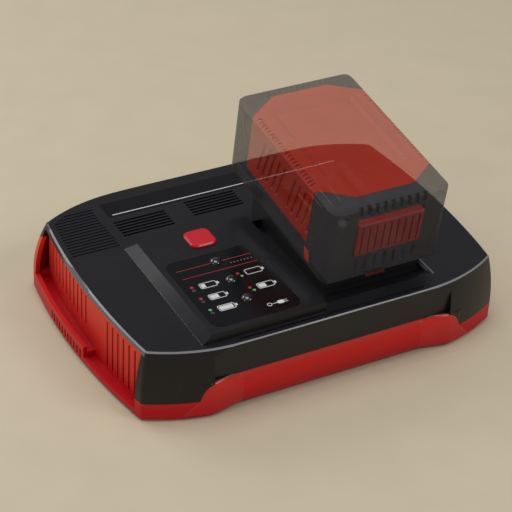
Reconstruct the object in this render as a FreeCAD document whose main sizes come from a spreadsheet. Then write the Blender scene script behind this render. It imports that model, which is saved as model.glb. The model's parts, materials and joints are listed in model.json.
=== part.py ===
import FreeCAD, Part
import Sketcher
import math
import os
import re

# Power tool battery charger with a slide-on battery pack in its dock.
# Millimetres. X runs along the charger, Y from front to back, Z up.
# The origin is on the table, under the middle of the charger.

# Driving dimensions. Each one goes into the sheet under its own name.
SIZES = {
    # charger body, seen from above as a barrel
    "top_level": 45.0,
    "seam_level": 23.0,
    "leg_level": 12.0,
    "shell_base": 1.5,
    "corner_x": 112.0,
    "middle_x": 117.0,
    "corner_y": 69.0,
    "middle_y": 83.5,
    "flat_x": 60.0,
    "flare_front": 3.5,
    "flare_rear": 8.0,
    "flare_end": 7.5,
    "flare_side": 3.0,
    "shell_wall": 2.5,
    "corner_round": 3.0,
    "edge_bevel": 0.8,
    "shell_gap": 0.2,
    "leg_inner": 77.0,
    "arch_run": 16.0,
    "skirt_draft": 2.0,
    "band_bulge": 3.0,
    "band_swell": 0.45,
    "band_thick": 3.0,
    "band_inset": 2.5,
    # air mouths at both ends
    "mouth_half": 66.0,
    "mouth_head": 2.6,
    "mouth_depth": 12.0,
    "mouth_gap": 0.3,
    "end_wall_inset": 0.6,
    "cavity_end": 1.5,
    "rear_trough": 8.0,
    "front_trough": 4.0,
    "lip_split": -12.0,
    "front_lip": 5.0,
    "slot_pitch": 6.1,
    "slot_width": 1.6,
    "rear_slots": 10,
    "front_slots": 7,
    "rear_slot_first": 55.0,
    "front_slot_first": -28.0,
    "rear_slot_low": 18.0,
    "front_slot_low": 7.0,
    "slot_top": 38.0,
    # console with the label, the lights and the select button
    "console_width": 81.0,
    "console_front": 77.5,
    "console_rear": 27.0,
    "console_rise": 5.0,
    "console_bevel": 9.0,
    "console_slope": 7.0,
    "console_lean": 1.5,
    "label_length": 66.0,
    "label_width": 56.0,
    "label_right": 12.0,
    "label_front": 72.0,
    "label_round": 6.0,
    "label_thick": 0.8,
    "light_row": 42.0,
    "light_first": 54.0,
    "light_pitch": 19.5,
    "light_radius": 3.6,
    "light_dome": 1.6,
    "select_x": 40.0,
    "select_y": 9.5,
    "select_size": 16.5,
    "select_round": 4.0,
    "select_proud": 1.6,
    "select_travel": 1.2,
    "select_gap": 0.25,
    "stem_radius": 2.0,
    "stem_length": 2.0,
    "switch_size": 6.0,
    "switch_rise": 4.0,
    "bridge_thick": 1.2,
    "bridge_width": 7.0,
    "bridge_reach": 4.0,
    "bridge_ear": 3.0,
    "light_sheet_left": 9.0,
    "light_sheet_right": 12.0,
    "light_sheet_front": 8.0,
    "light_sheet_gap": 2.0,
    # deck details
    "strip_left": 76.0,
    "strip_right": 84.0,
    "strip_front": 57.5,
    "strip_width": 16.0,
    "strip_thick": 0.6,
    "rib_rows": 15,
    "rib_pitch": 2.9,
    "rib_first": 29.0,
    "rib_cut": 1.0,
    "rib_depth": 0.7,
    "rib_inner": 82.0,
    "rib_margin": 3.5,
    "louvre_pitch": 2.9,
    "louvre_cut": 1.5,
    "louvre_length": 34.0,
    "louvre_rows": 6,
    "louvre_left": 76.0,
    "louvre_left_first": 36.5,
    "louvre_right": 28.0,
    "louvre_right_first": 39.5,
    "groove_inset": 3.2,
    "groove_cut": 1.2,
    "groove_depth": 0.9,
    # dock
    "dock_x": 37.5,
    "dock_left": 41.0,
    "dock_right": 34.0,
    "dock_front": 70.5,
    "dock_rear": 20.0,
    "dock_depth": 5.5,
    "dock_ramp": 13.0,
    "dock_wall": 2.0,
    # battery pack, in its own frame: u across, v along, w away from the charger
    "pack_front": -67.0,
    "pack_floor": 55.0,
    "pack_pitch": 6.5,
    "pack_round": 6.0,
    "pack_bevel": 2.0,
    "base_height": 14.0,
    "pack_wall": 2.2,
    "bumper_front": 10.0,
    "bumper_rear": 8.0,
    "bumper_skin": 2.0,
    "corner_across": 20.0,
    "corner_along": 14.0,
    "part_gap": 0.15,
    "foot_width": 54.0,
    "foot_drop": 6.0,
    "foot_flange": 2.4,
    "foot_groove": 2.5,
    "foot_front": 8.0,
    "foot_length": 102.0,
    "rail_gap": 0.3,
    "rail_wall": 3.6,
    "rail_front": 46.0,
    "rail_length": 51.0,
    "plinth_front": 6.0,
    "plinth_rear": 97.0,
    "slot_half": 17.0,
    "slot_start": 58.0,
    "slot_roof": 1.0,
    "block_front": 80.0,
    "block_length": 14.0,
    "block_half": 15.5,
    "blade_length": 16.0,
    "blade_height": 3.4,
    "blade_thick": 0.8,
    "blade_pitch": 7.0,
    "blade_count": 4,
    "clip_length": 8.0,
    "clip_thick": 1.0,
    "clip_gap": 0.1,
    "cell_radius": 9.1,
    "cell_length": 65.0,
    "cell_pitch": 18.6,
    "cell_columns": 5,
    "cell_level": 17.3,
    "cell_side_room": 1.8,
    "cell_end_room": 1.5,
    "cell_top_room": 1.8,
    "carrier_thick": 3.0,
    "carrier_inset": 4.0,
    "link_thick": 0.3,
    "link_width": 8.0,
    "board_thick": 1.6,
    "board_seat": 5.0,
    "pack_board_inset": 3.5,
    "pack_board_front": 2.8,
    "pack_board_rear": 6.8,
    "pack_post_radius": 2.5,
    "pack_post_side": 3.0,
    "pack_post_front": 10.0,
    "pack_post_rear": 16.0,
    "side_label_low": 2.5,
    "side_label_high": 11.0,
    "side_label_thick": 0.3,
    "side_label_front": 10.0,
    "side_label_rear": 4.0,
    "button_width": 43.0,
    "button_height": 22.0,
    "button_low": 17.0,
    "button_proud": 1.5,
    "button_depth": 5.0,
    "button_travel": 3.5,
    "button_gap": 0.3,
    "button_grooves": 9,
    "hook_width": 12.0,
    "hook_drop": 1.5,
    "stem_front": 4.6,
    "stem_rear": 7.4,
    "arm_rear": 8.6,
    "arm_thick": 3.0,
    "spring_radius": 1.6,
    "spring_length": 3.0,
    "top_ribs": 9,
    "top_rib_pitch": 5.2,
    "top_rib_cut": 2.4,
    "top_rib_depth": 1.6,
    "top_rib_drop": 7.5,
    "low_slots": 7,
    "low_slot_pitch": 6.3,
    "low_slot_cut": 2.0,
    "low_slot_depth": 2.2,
    "low_slot_low": 3.5,
    "low_slot_high": 13.5,
    "grip_ribs": 12,
    "grip_pitch": 3.9,
    "grip_cut": 1.8,
    "grip_depth": 1.4,
    "grip_drop": 9.0,
    "boss_hole": 3.5,
    "boss_inset": 6.5,
    "pack_head_rise": 1.6,
    "boss_level": 44.0,
    "boss_depth": 8.0,
    "vent_count": 5,
    "vent_pitch": 6.0,
    "vent_cut": 1.8,
    "vent_lean": 14.0,
    "vent_length": 25.0,
    "vent_first": 22.0,
    "vent_second": 58.0,
    "edge_grooves": 22,
    "recess_depth": 1.2,
    "recess_front": 30.0,
    "recess_slope": 6.0,
    "recess_side": 11.5,
    "recess_rear": 22.0,
    # inside the charger
    "board_level": 10.0,
    "board_x": 190.0,
    "board_y": 112.0,
    "post_width": 7.0,
    "post_x": 84.0,
    "post_y": 46.0,
    "screw_radius": 1.5,
    "screw_head": 2.9,
    "head_seat": 1.7,
    "screw_length": 20.0,
    "screw_x": 97.0,
    "screw_y": 60.0,
    "boss_radius": 4.2,
    "rubber_long": 18.0,
    "rubber_wide": 10.0,
    "rubber_seat": 0.8,
    "rubber_bevel": 0.6,
    "rubber_x": 82.0,
    "rubber_y": 60.0,
    "core_x": 42.0,
    "core_y": 34.0,
    "core_rise": 26.0,
    "coil_swell": 7.0,
    "transformer_x": -44.0,
    "transformer_y": -8.0,
    "sink_length": 60.0,
    "sink_depth": 14.0,
    "sink_rise": 22.0,
    "sink_fins": 7,
    "sink_x": 20.0,
    "sink_y": 30.0,
    "cap_radius": 9.0,
    "cap_rise": 22.0,
    "cap_pitch": 21.0,
    "cap_x": 24.0,
    "cap_y": -32.0,
    "choke_radius": 11.0,
    "choke_tube": 4.0,
    "choke_x": 72.0,
    "choke_y": -8.0,
    "gland_x": 60.0,
    "gland_radius": 6.0,
    "gland_bore": 3.6,
    "gland_length": 11.0,
    "gland_flange": 1.6,
    "gland_level": 14.0,
}

# Sizes that follow from the ones above: the pack is as large as its cells, walls and clearances make it.
DERIVED = {
    "pack_width": "cell_length + 2*(bumper_skin + pack_wall + cell_side_room)",
    "pack_length": "bumper_front + bumper_rear + 2*(pack_wall + cell_end_room + cell_radius)"
                   " + (cell_columns - 1)*cell_pitch",
    "pack_height": "cell_level + cell_pitch + cell_radius + bumper_skin + pack_wall + cell_top_room",
    "cell_first": "bumper_front + pack_wall + cell_end_room + cell_radius",
    "boss_x": "pack_width/2 - boss_inset",
    "recess_half": "pack_width/2 - recess_side",
    "recess_length": "pack_length - recess_front - recess_rear",
}

doc = FreeCAD.newDocument("charger")
sheet = doc.addObject("Spreadsheet::Sheet", "sizes")
for row, (name, value) in enumerate(SIZES.items(), start=1):
    sheet.set(f"A{row}", name)
    sheet.set(f"B{row}", f"{value:g}")
    sheet.setAlias(f"B{row}", name)
for row, (name, formula) in enumerate(DERIVED.items(), start=len(SIZES) + 1):
    sheet.set(f"A{row}", name)
    sheet.set(f"B{row}", "=" + formula)
    sheet.setAlias(f"B{row}", name)
    doc.recompute()


def size(name):
    """A driving dimension as it stands in the sheet."""
    return float(sheet.get(name))


def counted(name):
    """A driving dimension that counts copies."""
    return int(round(size(name)))


def in_sheet(text):
    """An expression that reads each named size from the sheet."""
    names = {**SIZES, **DERIVED}
    return re.sub(r"[a-z_]+", lambda w: "sizes." + w[0] if w[0] in names else w[0], str(text))


def bind(thing, **expressions):
    """Tie properties of a document object to the sheet."""
    for prop, text in expressions.items():
        thing.setExpression(prop, in_sheet(text))


def place(thing, x=0, y=0, z=0):
    """Tie where a document object stands to the sheet."""
    for axis, text in (("x", x), ("y", y), ("z", z)):
        thing.setExpression("Placement.Base." + axis, in_sheet(text))
    return thing


def block(name, x, y, z):
    """A box between two expressions along each axis."""
    box = doc.addObject("Part::Box", name)
    bind(box, Length=f"({x[1]}) - ({x[0]})", Width=f"({y[1]}) - ({y[0]})", Height=f"({z[1]}) - ({z[0]})")
    return place(box, x[0], y[0], z[0])


def centred(name, at, wide, deep, z):
    """A box centred on a point of the plan."""
    x, y = at
    across = (f"{x} - ({wide})/2", f"{x} + ({wide})/2")
    return block(name, across, (f"{y} - ({deep})/2", f"{y} + ({deep})/2"), z)


TURN = {
    "z": FreeCAD.Rotation(),
    "x": FreeCAD.Rotation(FreeCAD.Vector(0, 1, 0), 90),
    "y": FreeCAD.Rotation(FreeCAD.Vector(1, 0, 0), -90),
}


def rod(name, radius, length, at, axis="z"):
    """A cylinder from a point along one axis."""
    cylinder = doc.addObject("Part::Cylinder", name)
    cylinder.Placement = FreeCAD.Placement(FreeCAD.Vector(), TURN[axis])
    bind(cylinder, Radius=radius, Height=length)
    return place(cylinder, *at)


def joined(name, *things):
    """One solid from things that meet."""
    fuse = doc.addObject("Part::MultiFuse", name)
    fuse.Shapes = list(things)
    fuse.Refine = True
    return fuse


def cut(name, base, *tools):
    """A solid less one or more others."""
    tool = tools[0] if len(tools) == 1 else joined(name + "_tools", *tools)
    less = doc.addObject("Part::Cut", name)
    less.Base = base
    less.Tool = tool
    less.Refine = True
    return less


def group(name, things):
    """Separate solids kept as one sub-part."""
    held = doc.addObject("Part::Compound", name)
    held.Links = list(things)
    return held


def made(name, shape):
    """A document object round a shape worked out below."""
    feature = doc.addObject("Part::Feature", name)
    feature.Shape = shape
    return feature


def sketch_on(body, plane, label):
    """An empty sketch on one of a body's own planes."""
    sketch = body.newObject("Sketcher::SketchObject", label)
    base = [f for f in body.Origin.OriginFeatures if f.Role == plane][0]
    sketch.AttachmentSupport = [(base, "")]
    sketch.MapMode = "FlatFace"
    return sketch


def draw(sketch, points):
    """A closed outline whose corners are tied to the sheet."""
    values = [FreeCAD.Vector(worth(x), worth(y), 0) for x, y in points]
    last = len(points)
    for number in range(last):
        sketch.addGeometry(Part.LineSegment(values[number], values[(number + 1) % last]), False)
    for number in range(last):
        sketch.addConstraint(Sketcher.Constraint("Coincident", number, 2, (number + 1) % last, 1))
    for number, (x, y) in enumerate(points):
        for kind, text, value in (("DistanceX", x, values[number].x), ("DistanceY", y, values[number].y)):
            index = sketch.addConstraint(Sketcher.Constraint(kind, -1, 1, number, 1, value))
            sketch.setExpression(f"Constraints[{index}]", in_sheet(text))


probe = doc.addObject("Part::Box", "probe")


def worth(text):
    """The number that an expression gives now, worked out by a spare box."""
    probe.setExpression("Placement.Base.x", in_sheet(text))
    probe.recompute()
    return probe.Placement.Base.x


def pad(name, plane, points, length, start=0):
    """A body padded from one outline, raised to its start."""
    body = doc.addObject("PartDesign::Body", name)
    sketch = sketch_on(body, plane, name + "_outline")
    draw(sketch, points)
    sketch.setExpression("AttachmentOffset.Base.z", in_sheet(start))
    feature = body.newObject("PartDesign::Pad", name + "_pad")
    feature.Profile = sketch
    feature.setExpression("Length", in_sheet(length))
    doc.recompute()
    return body


def rounded(name, plane, points, length, start, radius):
    """A padded outline whose upright edges are rounded."""
    body = pad(name, plane, points, length, start)
    base = body.Tip
    axis = FreeCAD.Vector(0, 0, 1) if plane == "XY_Plane" else FreeCAD.Vector(0, 1, 0)
    upright = [
        f"Edge{n}" for n, edge in enumerate(base.Shape.Edges, start=1)
        if abs(edge.tangentAt(edge.FirstParameter).dot(axis)) > 0.999
    ]
    fillet = body.newObject("PartDesign::Fillet", name + "_fillet")
    fillet.Base = (base, upright)
    fillet.setExpression("Radius", in_sheet(radius))
    doc.recompute()
    return body


def barrel(level, inset=0.0):
    """The charger's plan at one height: straight front and back, bowed ends."""
    fall = min(max((size("top_level") - level) / (size("top_level") - size("leg_level")), 0), 1)
    grow = 1 - (1 - fall) ** 2
    front = size("corner_x") + size("flare_front") * grow - inset
    rear = size("corner_x") + size("flare_rear") * grow - inset
    end = size("middle_x") + size("flare_end") * grow - inset
    side = size("corner_y") + size("flare_side") * grow - inset
    far = size("middle_y") + size("flare_side") * grow - inset
    flat = size("flat_x")

    def at(x, y):
        return FreeCAD.Vector(x, y, level)

    def bend(corner, turn):
        """Arc from a corner to where the straight begins, tangent there."""
        run, rise = corner - flat, far - side
        radius = (run * run + rise * rise) / (2 * rise)
        half = math.asin(run / radius) / 2
        middle = flat + radius * math.sin(half)
        depth = far - radius * (1 - math.cos(half))
        return middle, turn * depth

    edges = []
    front_mid, front_y = bend(front, -1)
    rear_mid, rear_y = bend(rear, 1)
    edges.append(Part.Arc(at(-front, -side), at(-front_mid, front_y), at(-flat, -far)).toShape())
    edges.append(Part.LineSegment(at(-flat, -far), at(flat, -far)).toShape())
    edges.append(Part.Arc(at(flat, -far), at(front_mid, front_y), at(front, -side)).toShape())
    edges.append(Part.Arc(at(front, -side), at(end, 0), at(rear, side)).toShape())
    edges.append(Part.Arc(at(rear, side), at(rear_mid, rear_y), at(flat, far)).toShape())
    edges.append(Part.LineSegment(at(flat, far), at(-flat, far)).toShape())
    edges.append(Part.Arc(at(-flat, far), at(-rear_mid, rear_y), at(-rear, side)).toShape())
    edges.append(Part.Arc(at(-rear, side), at(-end, 0), at(-front, -side)).toShape())
    return Part.Wire(edges)


def flared(low, high, inset=0.0):
    """The flared body between the leg's end and a level near the top."""
    return Part.makeLoft([barrel(level, inset) for level in (high, size("seam_level"), low)], True, False)


def upright_plan(level, low, high, inset=0.0):
    """The outline that the charger has at one level, inset, as a straight-sided block."""
    wire = barrel(level, inset)
    wire.translate(FreeCAD.Vector(0, 0, low - level))
    return Part.Face(wire).extrude(FreeCAD.Vector(0, 0, high - low))


BIG = 400.0
CORNERS = ((-1, -1), (1, -1), (1, 1), (-1, 1))


def slab(x, y, z):
    """A plain block of the shape code, between two numbers along each axis."""
    corner = FreeCAD.Vector(x[0], y[0], z[0])
    return Part.makeBox(x[1] - x[0], y[1] - y[0], z[1] - z[0], corner)


def sheet_of(points, push):
    """A flat outline pushed out into a solid."""
    closed = [FreeCAD.Vector(*p) for p in points]
    wire = Part.makePolygon(closed + closed[:1])
    return Part.Face(wire).extrude(FreeCAD.Vector(*push))


def mirrored(shape, x=0, y=0):
    """A copy on the other side of the middle."""
    return shape.mirror(FreeCAD.Vector(), FreeCAD.Vector(x, y, 0))


def both_ends(shape):
    """A shape and its copy at the other end."""
    return [shape, mirrored(shape, x=1)]


def tapered(low, high, z):
    """A block whose top is smaller than its foot: a raised console or a tray."""
    wires = []
    for (x0, x1, y0, y1), level in ((low, z[0]), (high, z[1])):
        corners = [(x0, y0), (x1, y0), (x1, y1), (x0, y1)]
        points = [FreeCAD.Vector(x, y, level) for x, y in corners]
        wires.append(Part.makePolygon(points + points[:1]))
    return Part.makeLoft(wires, True, True)


TOP = size("top_level")
SEAM = size("seam_level")
LEG = size("leg_level")
BASE = size("shell_base")
WALL = size("shell_wall")
MOUTH = size("mouth_half")
MOUTH_BACK = size("corner_x") - size("mouth_depth")
DOCK_LEFT = size("dock_x") - size("dock_left")
DOCK_RIGHT = size("dock_x") + size("dock_right")
CONSOLE_LEFT = DOCK_LEFT - size("console_width")
CONSOLE_TOP = TOP + size("console_rise")


def middle_skirt(low, high, spare=0.0):
    """What comes off the flared front so that it stands upright between the legs."""
    face = size("middle_y")
    lean = size("skirt_draft") / (TOP - SEAM)
    half = size("leg_inner") + spare
    points = [
        (-half, -face + lean * (TOP - high), high),
        (-half, -face + lean * (TOP - low), low),
        (-half, -BIG, low),
        (-half, -BIG, high),
    ]
    front = sheet_of(points, (2 * half, 0, 0))
    return [front, mirrored(front, y=1)]


def arch(low, high, spare=0.0):
    """The opening between the black legs, narrower at its top."""
    foot = size("leg_inner") + size("shell_gap") + spare
    head = foot - size("arch_run")
    points = [(-foot, low - BASE), (foot, low - BASE), (foot, low), (head, high), (-head, high), (-foot, low)]
    return sheet_of([(x, -BIG, z) for x, z in points], (0, 2 * BIG, 0))


def deck_slots():
    """Louvre slots behind the console, in two groups."""
    pitch, wide, run = size("louvre_pitch"), size("louvre_cut"), size("louvre_length")
    slots = []
    for side in ("louvre_left", "louvre_right"):
        left = -size(side)
        for row in range(counted("louvre_rows")):
            y = size(side + "_first") + row * pitch
            slots.append(slab((left, left + run), (y, y + wide), (TOP - 2 * WALL, TOP + 1)))
    return slots


def deck_ribs():
    """Grooves that leave fine ribs at the rear corners of the deck."""
    grooves = []
    for row in range(counted("rib_rows")):
        y = size("rib_first") + row * size("rib_pitch")
        groove = slab((size("rib_inner"), BIG), (y, y + size("rib_cut")), (TOP - size("rib_depth"), TOP + 1))
        grooves += both_ends(groove)
    within = upright_plan(TOP, TOP - size("rib_depth") - 1, TOP + 2, size("rib_margin"))
    return [groove.common(within) for groove in grooves]


def select_hole(extra, z):
    """The square hole or recess round the select button."""
    half = size("select_size") / 2 + extra
    x, y = -size("select_x"), size("select_y")
    hole = slab((x - half, x + half), (y - half, y + half), z)
    upright = [e for e in hole.Edges if abs(e.tangentAt(0).z) > 0.9]
    return hole.makeFillet(size("select_round") + extra, upright)


def label_seat(extra, z):
    """The label's own outline, or the recess that it lies in."""
    right = DOCK_LEFT - size("label_right") + extra
    left = right - size("label_width") - 2 * extra
    front = -size("label_front") - extra
    seat = slab((left, right), (front, front + size("label_length") + 2 * extra), z)
    upright = [e for e in seat.Edges if abs(e.tangentAt(0).z) > 0.9]
    return seat.makeFillet(size("label_round") + extra, upright)


def light_window():
    """One window through the console's roof, behind the label, for the three lenses."""
    half = size("light_radius") + 1
    x, front = -size("light_row"), -size("light_first")
    rear = front + 2 * size("light_pitch")
    return slab((x - half, x + half), (front - half, rear + half), (CONSOLE_TOP - 2 * WALL, CONSOLE_TOP))


def screw_spots():
    """Centres of the four housing screws."""
    x, y = size("screw_x"), size("screw_y")
    return [(-x, -y), (x, -y), (x, y), (-x, y)]


def upper_shell():
    """Black top shell: deck, console, dock tray, skirts and corner legs."""
    body = flared(LEG, TOP)
    corners = [e for e in body.Edges if e.BoundBox.ZLength > 5]
    body = body.makeFillet(size("corner_round"), corners)
    rim = [e for e in body.Edges if e.BoundBox.ZMin > TOP - 0.01]
    body = body.makeChamfer(size("edge_bevel"), rim)
    body = body.cut(middle_skirt(LEG - 1, TOP))
    inside = flared(LEG, TOP - WALL, WALL).fuse(upright_plan(LEG, LEG - 1, LEG, WALL))
    middle = [half.translated(FreeCAD.Vector(0, WALL * way, 0))
              for half, way in zip(middle_skirt(LEG - BASE, TOP, WALL), (1, -1))]
    inside = inside.cut(middle)
    left, right = CONSOLE_LEFT, DOCK_LEFT
    bevel, slope = size("console_bevel"), size("console_slope")
    foot = (left, right, -size("console_front"), size("console_rear"))
    head = (left + bevel, right, -size("console_front") + size("console_lean"), size("console_rear") - slope)
    console = tapered(foot, head, (TOP - WALL, CONSOLE_TOP))
    hollow_foot = (left + WALL, right - WALL, foot[2] + WALL, foot[3] - WALL)
    hollow_head = (head[0] + WALL, right - WALL, head[2] + WALL, head[3] - WALL)
    hollow = tapered(hollow_foot, hollow_head, (TOP - WALL - 1, CONSOLE_TOP - WALL))
    shell = body.fuse(console).cut([inside, hollow])
    wall = size("dock_wall")
    floor = TOP - size("dock_depth")
    front, rear = -size("dock_front"), size("dock_rear")
    tray = slab((DOCK_LEFT - wall, DOCK_RIGHT + wall), (front - wall, rear + wall), (floor - wall, TOP))
    well = tapered(
        (DOCK_LEFT, DOCK_RIGHT, front + size("dock_ramp"), rear),
        (DOCK_LEFT, DOCK_RIGHT, front, rear),
        (floor, TOP),
    )
    above = slab((DOCK_LEFT, DOCK_RIGHT), (front, rear), (TOP, TOP + BIG))
    shell = shell.fuse(tray.cut(slab((-BIG, BIG), (-BIG, BIG), (TOP, BIG))))
    shell = shell.cut([well, above])
    shell = shell.cut(arch(LEG, SEAM))
    mouth = slab((MOUTH_BACK, BIG), (-MOUTH, MOUTH), (0, TOP - size("mouth_head")))
    shell = shell.cut(both_ends(mouth))
    groove_y = -size("middle_y") + size("groove_inset")
    groove = slab(
        (-size("flat_x"), size("flat_x")), (groove_y, groove_y + size("groove_cut")),
        (TOP - size("groove_depth"), TOP + 1),
    )
    strip = slab(
        (-size("strip_left"), size("strip_right")),
        (size("strip_front"), size("strip_front") + size("strip_width")),
        (TOP - size("strip_thick"), TOP + 1),
    )
    seat = label_seat(0.1, (CONSOLE_TOP - size("label_thick"), CONSOLE_TOP + 1))
    hole = select_hole(size("select_gap"), (CONSOLE_TOP - 2 * WALL, CONSOLE_TOP + 1))
    shell = shell.cut(deck_slots() + deck_ribs() + [groove, strip, seat, hole, light_window()])
    low = BASE + WALL + size("shell_gap")
    bosses = []
    for x, y in screw_spots():
        boss = Part.makeCylinder(size("boss_radius"), TOP - WALL + 0.5 - low, FreeCAD.Vector(x, y, low))
        at = FreeCAD.Vector(x, y, BASE)
        pilot = Part.makeCylinder(size("screw_radius") + 0.02, size("screw_length"), at)
        bosses.append(boss.cut(pilot))
    return shell.fuse(bosses)


def end_wall():
    """Red wall behind the right air mouth, with its two groups of slots."""
    low, high = BASE, TOP - size("mouth_head") - size("shell_gap")
    inset, side = size("end_wall_inset"), MOUTH - size("mouth_gap")
    wall = upright_plan(TOP, low, high, inset).cut(upright_plan(TOP, low - 1, high + 1, inset + WALL))
    wall = wall.common(slab((MOUTH_BACK, BIG), (-side, side), (low, high)))
    slots = []
    groups = (
        ("rear_slot_first", "rear_slot_low", "rear_slots"),
        ("front_slot_first", "front_slot_low", "front_slots"),
    )
    for first, bottom, count in groups:
        for number in range(counted(count)):
            y = size(first) - number * size("slot_pitch")
            level = (size(bottom), size("slot_top"))
            slots.append(slab((MOUTH_BACK, BIG), (y, y + size("slot_width")), level))
    return wall.cut(slots)


def lower_shell():
    """Red bottom shell: tub, bulged bands, end walls, troughs and lips."""
    gap = size("shell_gap")
    tub = upright_plan(LEG, BASE, SEAM)
    tub = tub.makeFillet(size("corner_round"), [e for e in tub.Edges if e.BoundBox.ZLength > 5])
    tub = tub.cut(middle_skirt(BASE - 1, SEAM + 1))
    above = slab((-BIG, BIG), (-BIG, BIG), (LEG, BIG))
    keep = arch(LEG, SEAM - gap, -2 * gap)
    tub = tub.cut(above.cut(keep))
    face, inset = -size("middle_y") + size("skirt_draft"), size("band_inset")
    thick = size("band_thick")
    half = size("leg_inner") - 1
    rise = SEAM - gap - BASE
    start = FreeCAD.Vector(-half, face + inset, SEAM - gap)
    swell = FreeCAD.Vector(-half, face - size("band_bulge"), BASE + size("band_swell") * rise)
    end = FreeCAD.Vector(-half, face, BASE)
    back = FreeCAD.Vector(-half, face + inset + thick, BASE)
    top_back = FreeCAD.Vector(-half, face + inset + thick, SEAM - gap)
    profile = Part.Wire([
        Part.Arc(start, swell, end).toShape(),
        Part.LineSegment(end, back).toShape(),
        Part.LineSegment(back, top_back).toShape(),
        Part.LineSegment(top_back, start).toShape(),
    ])
    band = Part.Face(profile).extrude(FreeCAD.Vector(2 * half, 0, 0))
    trim = arch(LEG, SEAM - gap, -2 * gap)
    band = band.common(trim.fuse(slab((-half, half), (-BIG, BIG), (0, LEG))))
    flush = slab((-half, half), (-BIG, face + inset), (BASE - 1, SEAM + 1))
    tub = tub.cut([flush, mirrored(flush, y=1)]).fuse([band, mirrored(band, y=1)])
    reach = size("corner_x") - size("cavity_end")
    cavity = upright_plan(LEG, BASE + WALL, SEAM + 1, WALL + inset)
    side = -face - inset - WALL - 0.5
    cavity = cavity.common(slab((-reach, reach), (-side, side), (0, BIG)))
    bowl = upright_plan(LEG, BASE + 1, SEAM + 1, WALL)
    split = size("lip_split")
    rear = bowl.common(slab((reach, BIG), (split, MOUTH), (size("rear_trough"), BIG)))
    front = bowl.common(slab((reach, BIG), (-MOUTH, split), (size("front_trough"), BIG)))
    open_front = slab((reach, BIG), (-MOUTH, split), (size("front_lip"), BIG))
    tub = tub.cut([cavity] + both_ends(rear) + both_ends(front) + both_ends(open_front))
    wall = end_wall()
    tub = tub.fuse(both_ends(wall))
    seats = []
    level = (0, BASE + size("rubber_seat"))
    half_x, half_y = size("rubber_long") / 2 + 0.1, size("rubber_wide") / 2 + 0.1
    for x in (-size("rubber_x"), size("rubber_x")):
        for y in (-size("rubber_y"), size("rubber_y")):
            seats.append(slab((x - half_x, x + half_x), (y - half_y, y + half_y), level))
    half = size("post_width") / 2
    posts = [slab((x - half, x + half), (y - half, y + half), (BASE + WALL - 0.5, size("board_level")))
             for x, y in post_spots()]
    holes = []
    for x, y in screw_spots():
        head = Part.makeCylinder(size("screw_head") + 0.2, size("head_seat"), FreeCAD.Vector(x, y, BASE))
        hole = Part.makeCylinder(size("screw_radius") + 0.2, WALL + 1, FreeCAD.Vector(x, y, BASE))
        holes += [head, hole]
    start = FreeCAD.Vector(size("gland_x"), size("middle_y") - 12, size("gland_level"))
    bore = Part.makeCylinder(size("gland_radius") + 0.05, 20, start, FreeCAD.Vector(0, 1, 0))
    return tub.fuse(posts).cut(seats + holes + [bore])


def post_spots():
    """Where the main board rests on posts."""
    x, y = size("post_x"), size("post_y")
    return [(-x, -y), (0, -y), (x, -y), (-x, y), (0, y), (x, y)]


PITCH = size("pack_pitch")
PACK = FreeCAD.Placement(
    FreeCAD.Vector(size("dock_x"), size("pack_front"), size("pack_floor")),
    FreeCAD.Rotation(FreeCAD.Vector(1, 0, 0), PITCH),
)
HALF = size("pack_width") / 2
LONG = size("pack_length")
TALL = size("pack_height")
LOW = size("base_height")
THIN = size("pack_wall")
FRONT = size("bumper_front")
REAR = LONG - size("bumper_rear")


def in_pack(thing):
    """Stand a document object in the pitched frame of the dock and the pack."""
    thing.Placement = PACK
    place(thing, "dock_x", "pack_front", "pack_floor")
    thing.setExpression("Placement.Rotation.Angle", in_sheet("pack_pitch"))
    return thing


def packed(name, shape):
    """A shape worked out in the pack's frame, as a document object there."""
    feature = made(name, shape)
    return in_pack(feature)


def pack_hull(inset=0.0):
    """The pack's rounded outer block, or the same inset by a skin."""
    hull = slab((-HALF + inset, HALF - inset), (inset, LONG - inset), (0, TALL - inset))
    upright = [e for e in hull.Edges if e.BoundBox.ZLength > TALL / 2]
    hull = hull.makeFillet(size("pack_round") - inset, upright)
    rim = [e for e in hull.Edges if e.BoundBox.ZMin > TALL - inset - 0.01]
    return hull.makeChamfer(size("pack_bevel"), rim)


def cover_zone(grow):
    """Where the red cover shows, with corners cut back, and runs under the bumpers."""
    across, along = size("corner_across"), size("corner_along")
    x, y0, y1 = HALF + 1, FRONT - grow, REAR + grow
    head = HALF - across + grow
    points = [(-x, y0 + along), (-head, y0), (head, y0), (x, y0 + along),
              (x, y1 - along), (head, y1), (-head, y1), (-x, y1 - along)]
    shown = sheet_of([(u, v, LOW - grow) for u, v in points], (0, 0, TALL))
    skin = size("bumper_skin") - grow
    under = slab((-HALF + skin, HALF - skin), (y0, y1), (LOW - grow, TALL - skin))
    return shown.fuse(under)


def side_vents():
    """Leaning slots through both sides of the cover, in two groups."""
    slots = []
    lean = FreeCAD.Rotation(FreeCAD.Vector(1, 0, 0), size("vent_lean"))
    middle = (LOW + TALL) / 2 - 1
    for first in ("vent_first", "vent_second"):
        for number in range(counted("vent_count")):
            slot = slab((-BIG, BIG), (-size("vent_cut") / 2, size("vent_cut") / 2),
                        (-size("vent_length") / 2, size("vent_length") / 2))
            along = size(first) + number * size("vent_pitch")
            slot.Placement = FreeCAD.Placement(FreeCAD.Vector(0, along, middle), lean)
            slots.append(slot)
    return slots


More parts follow.
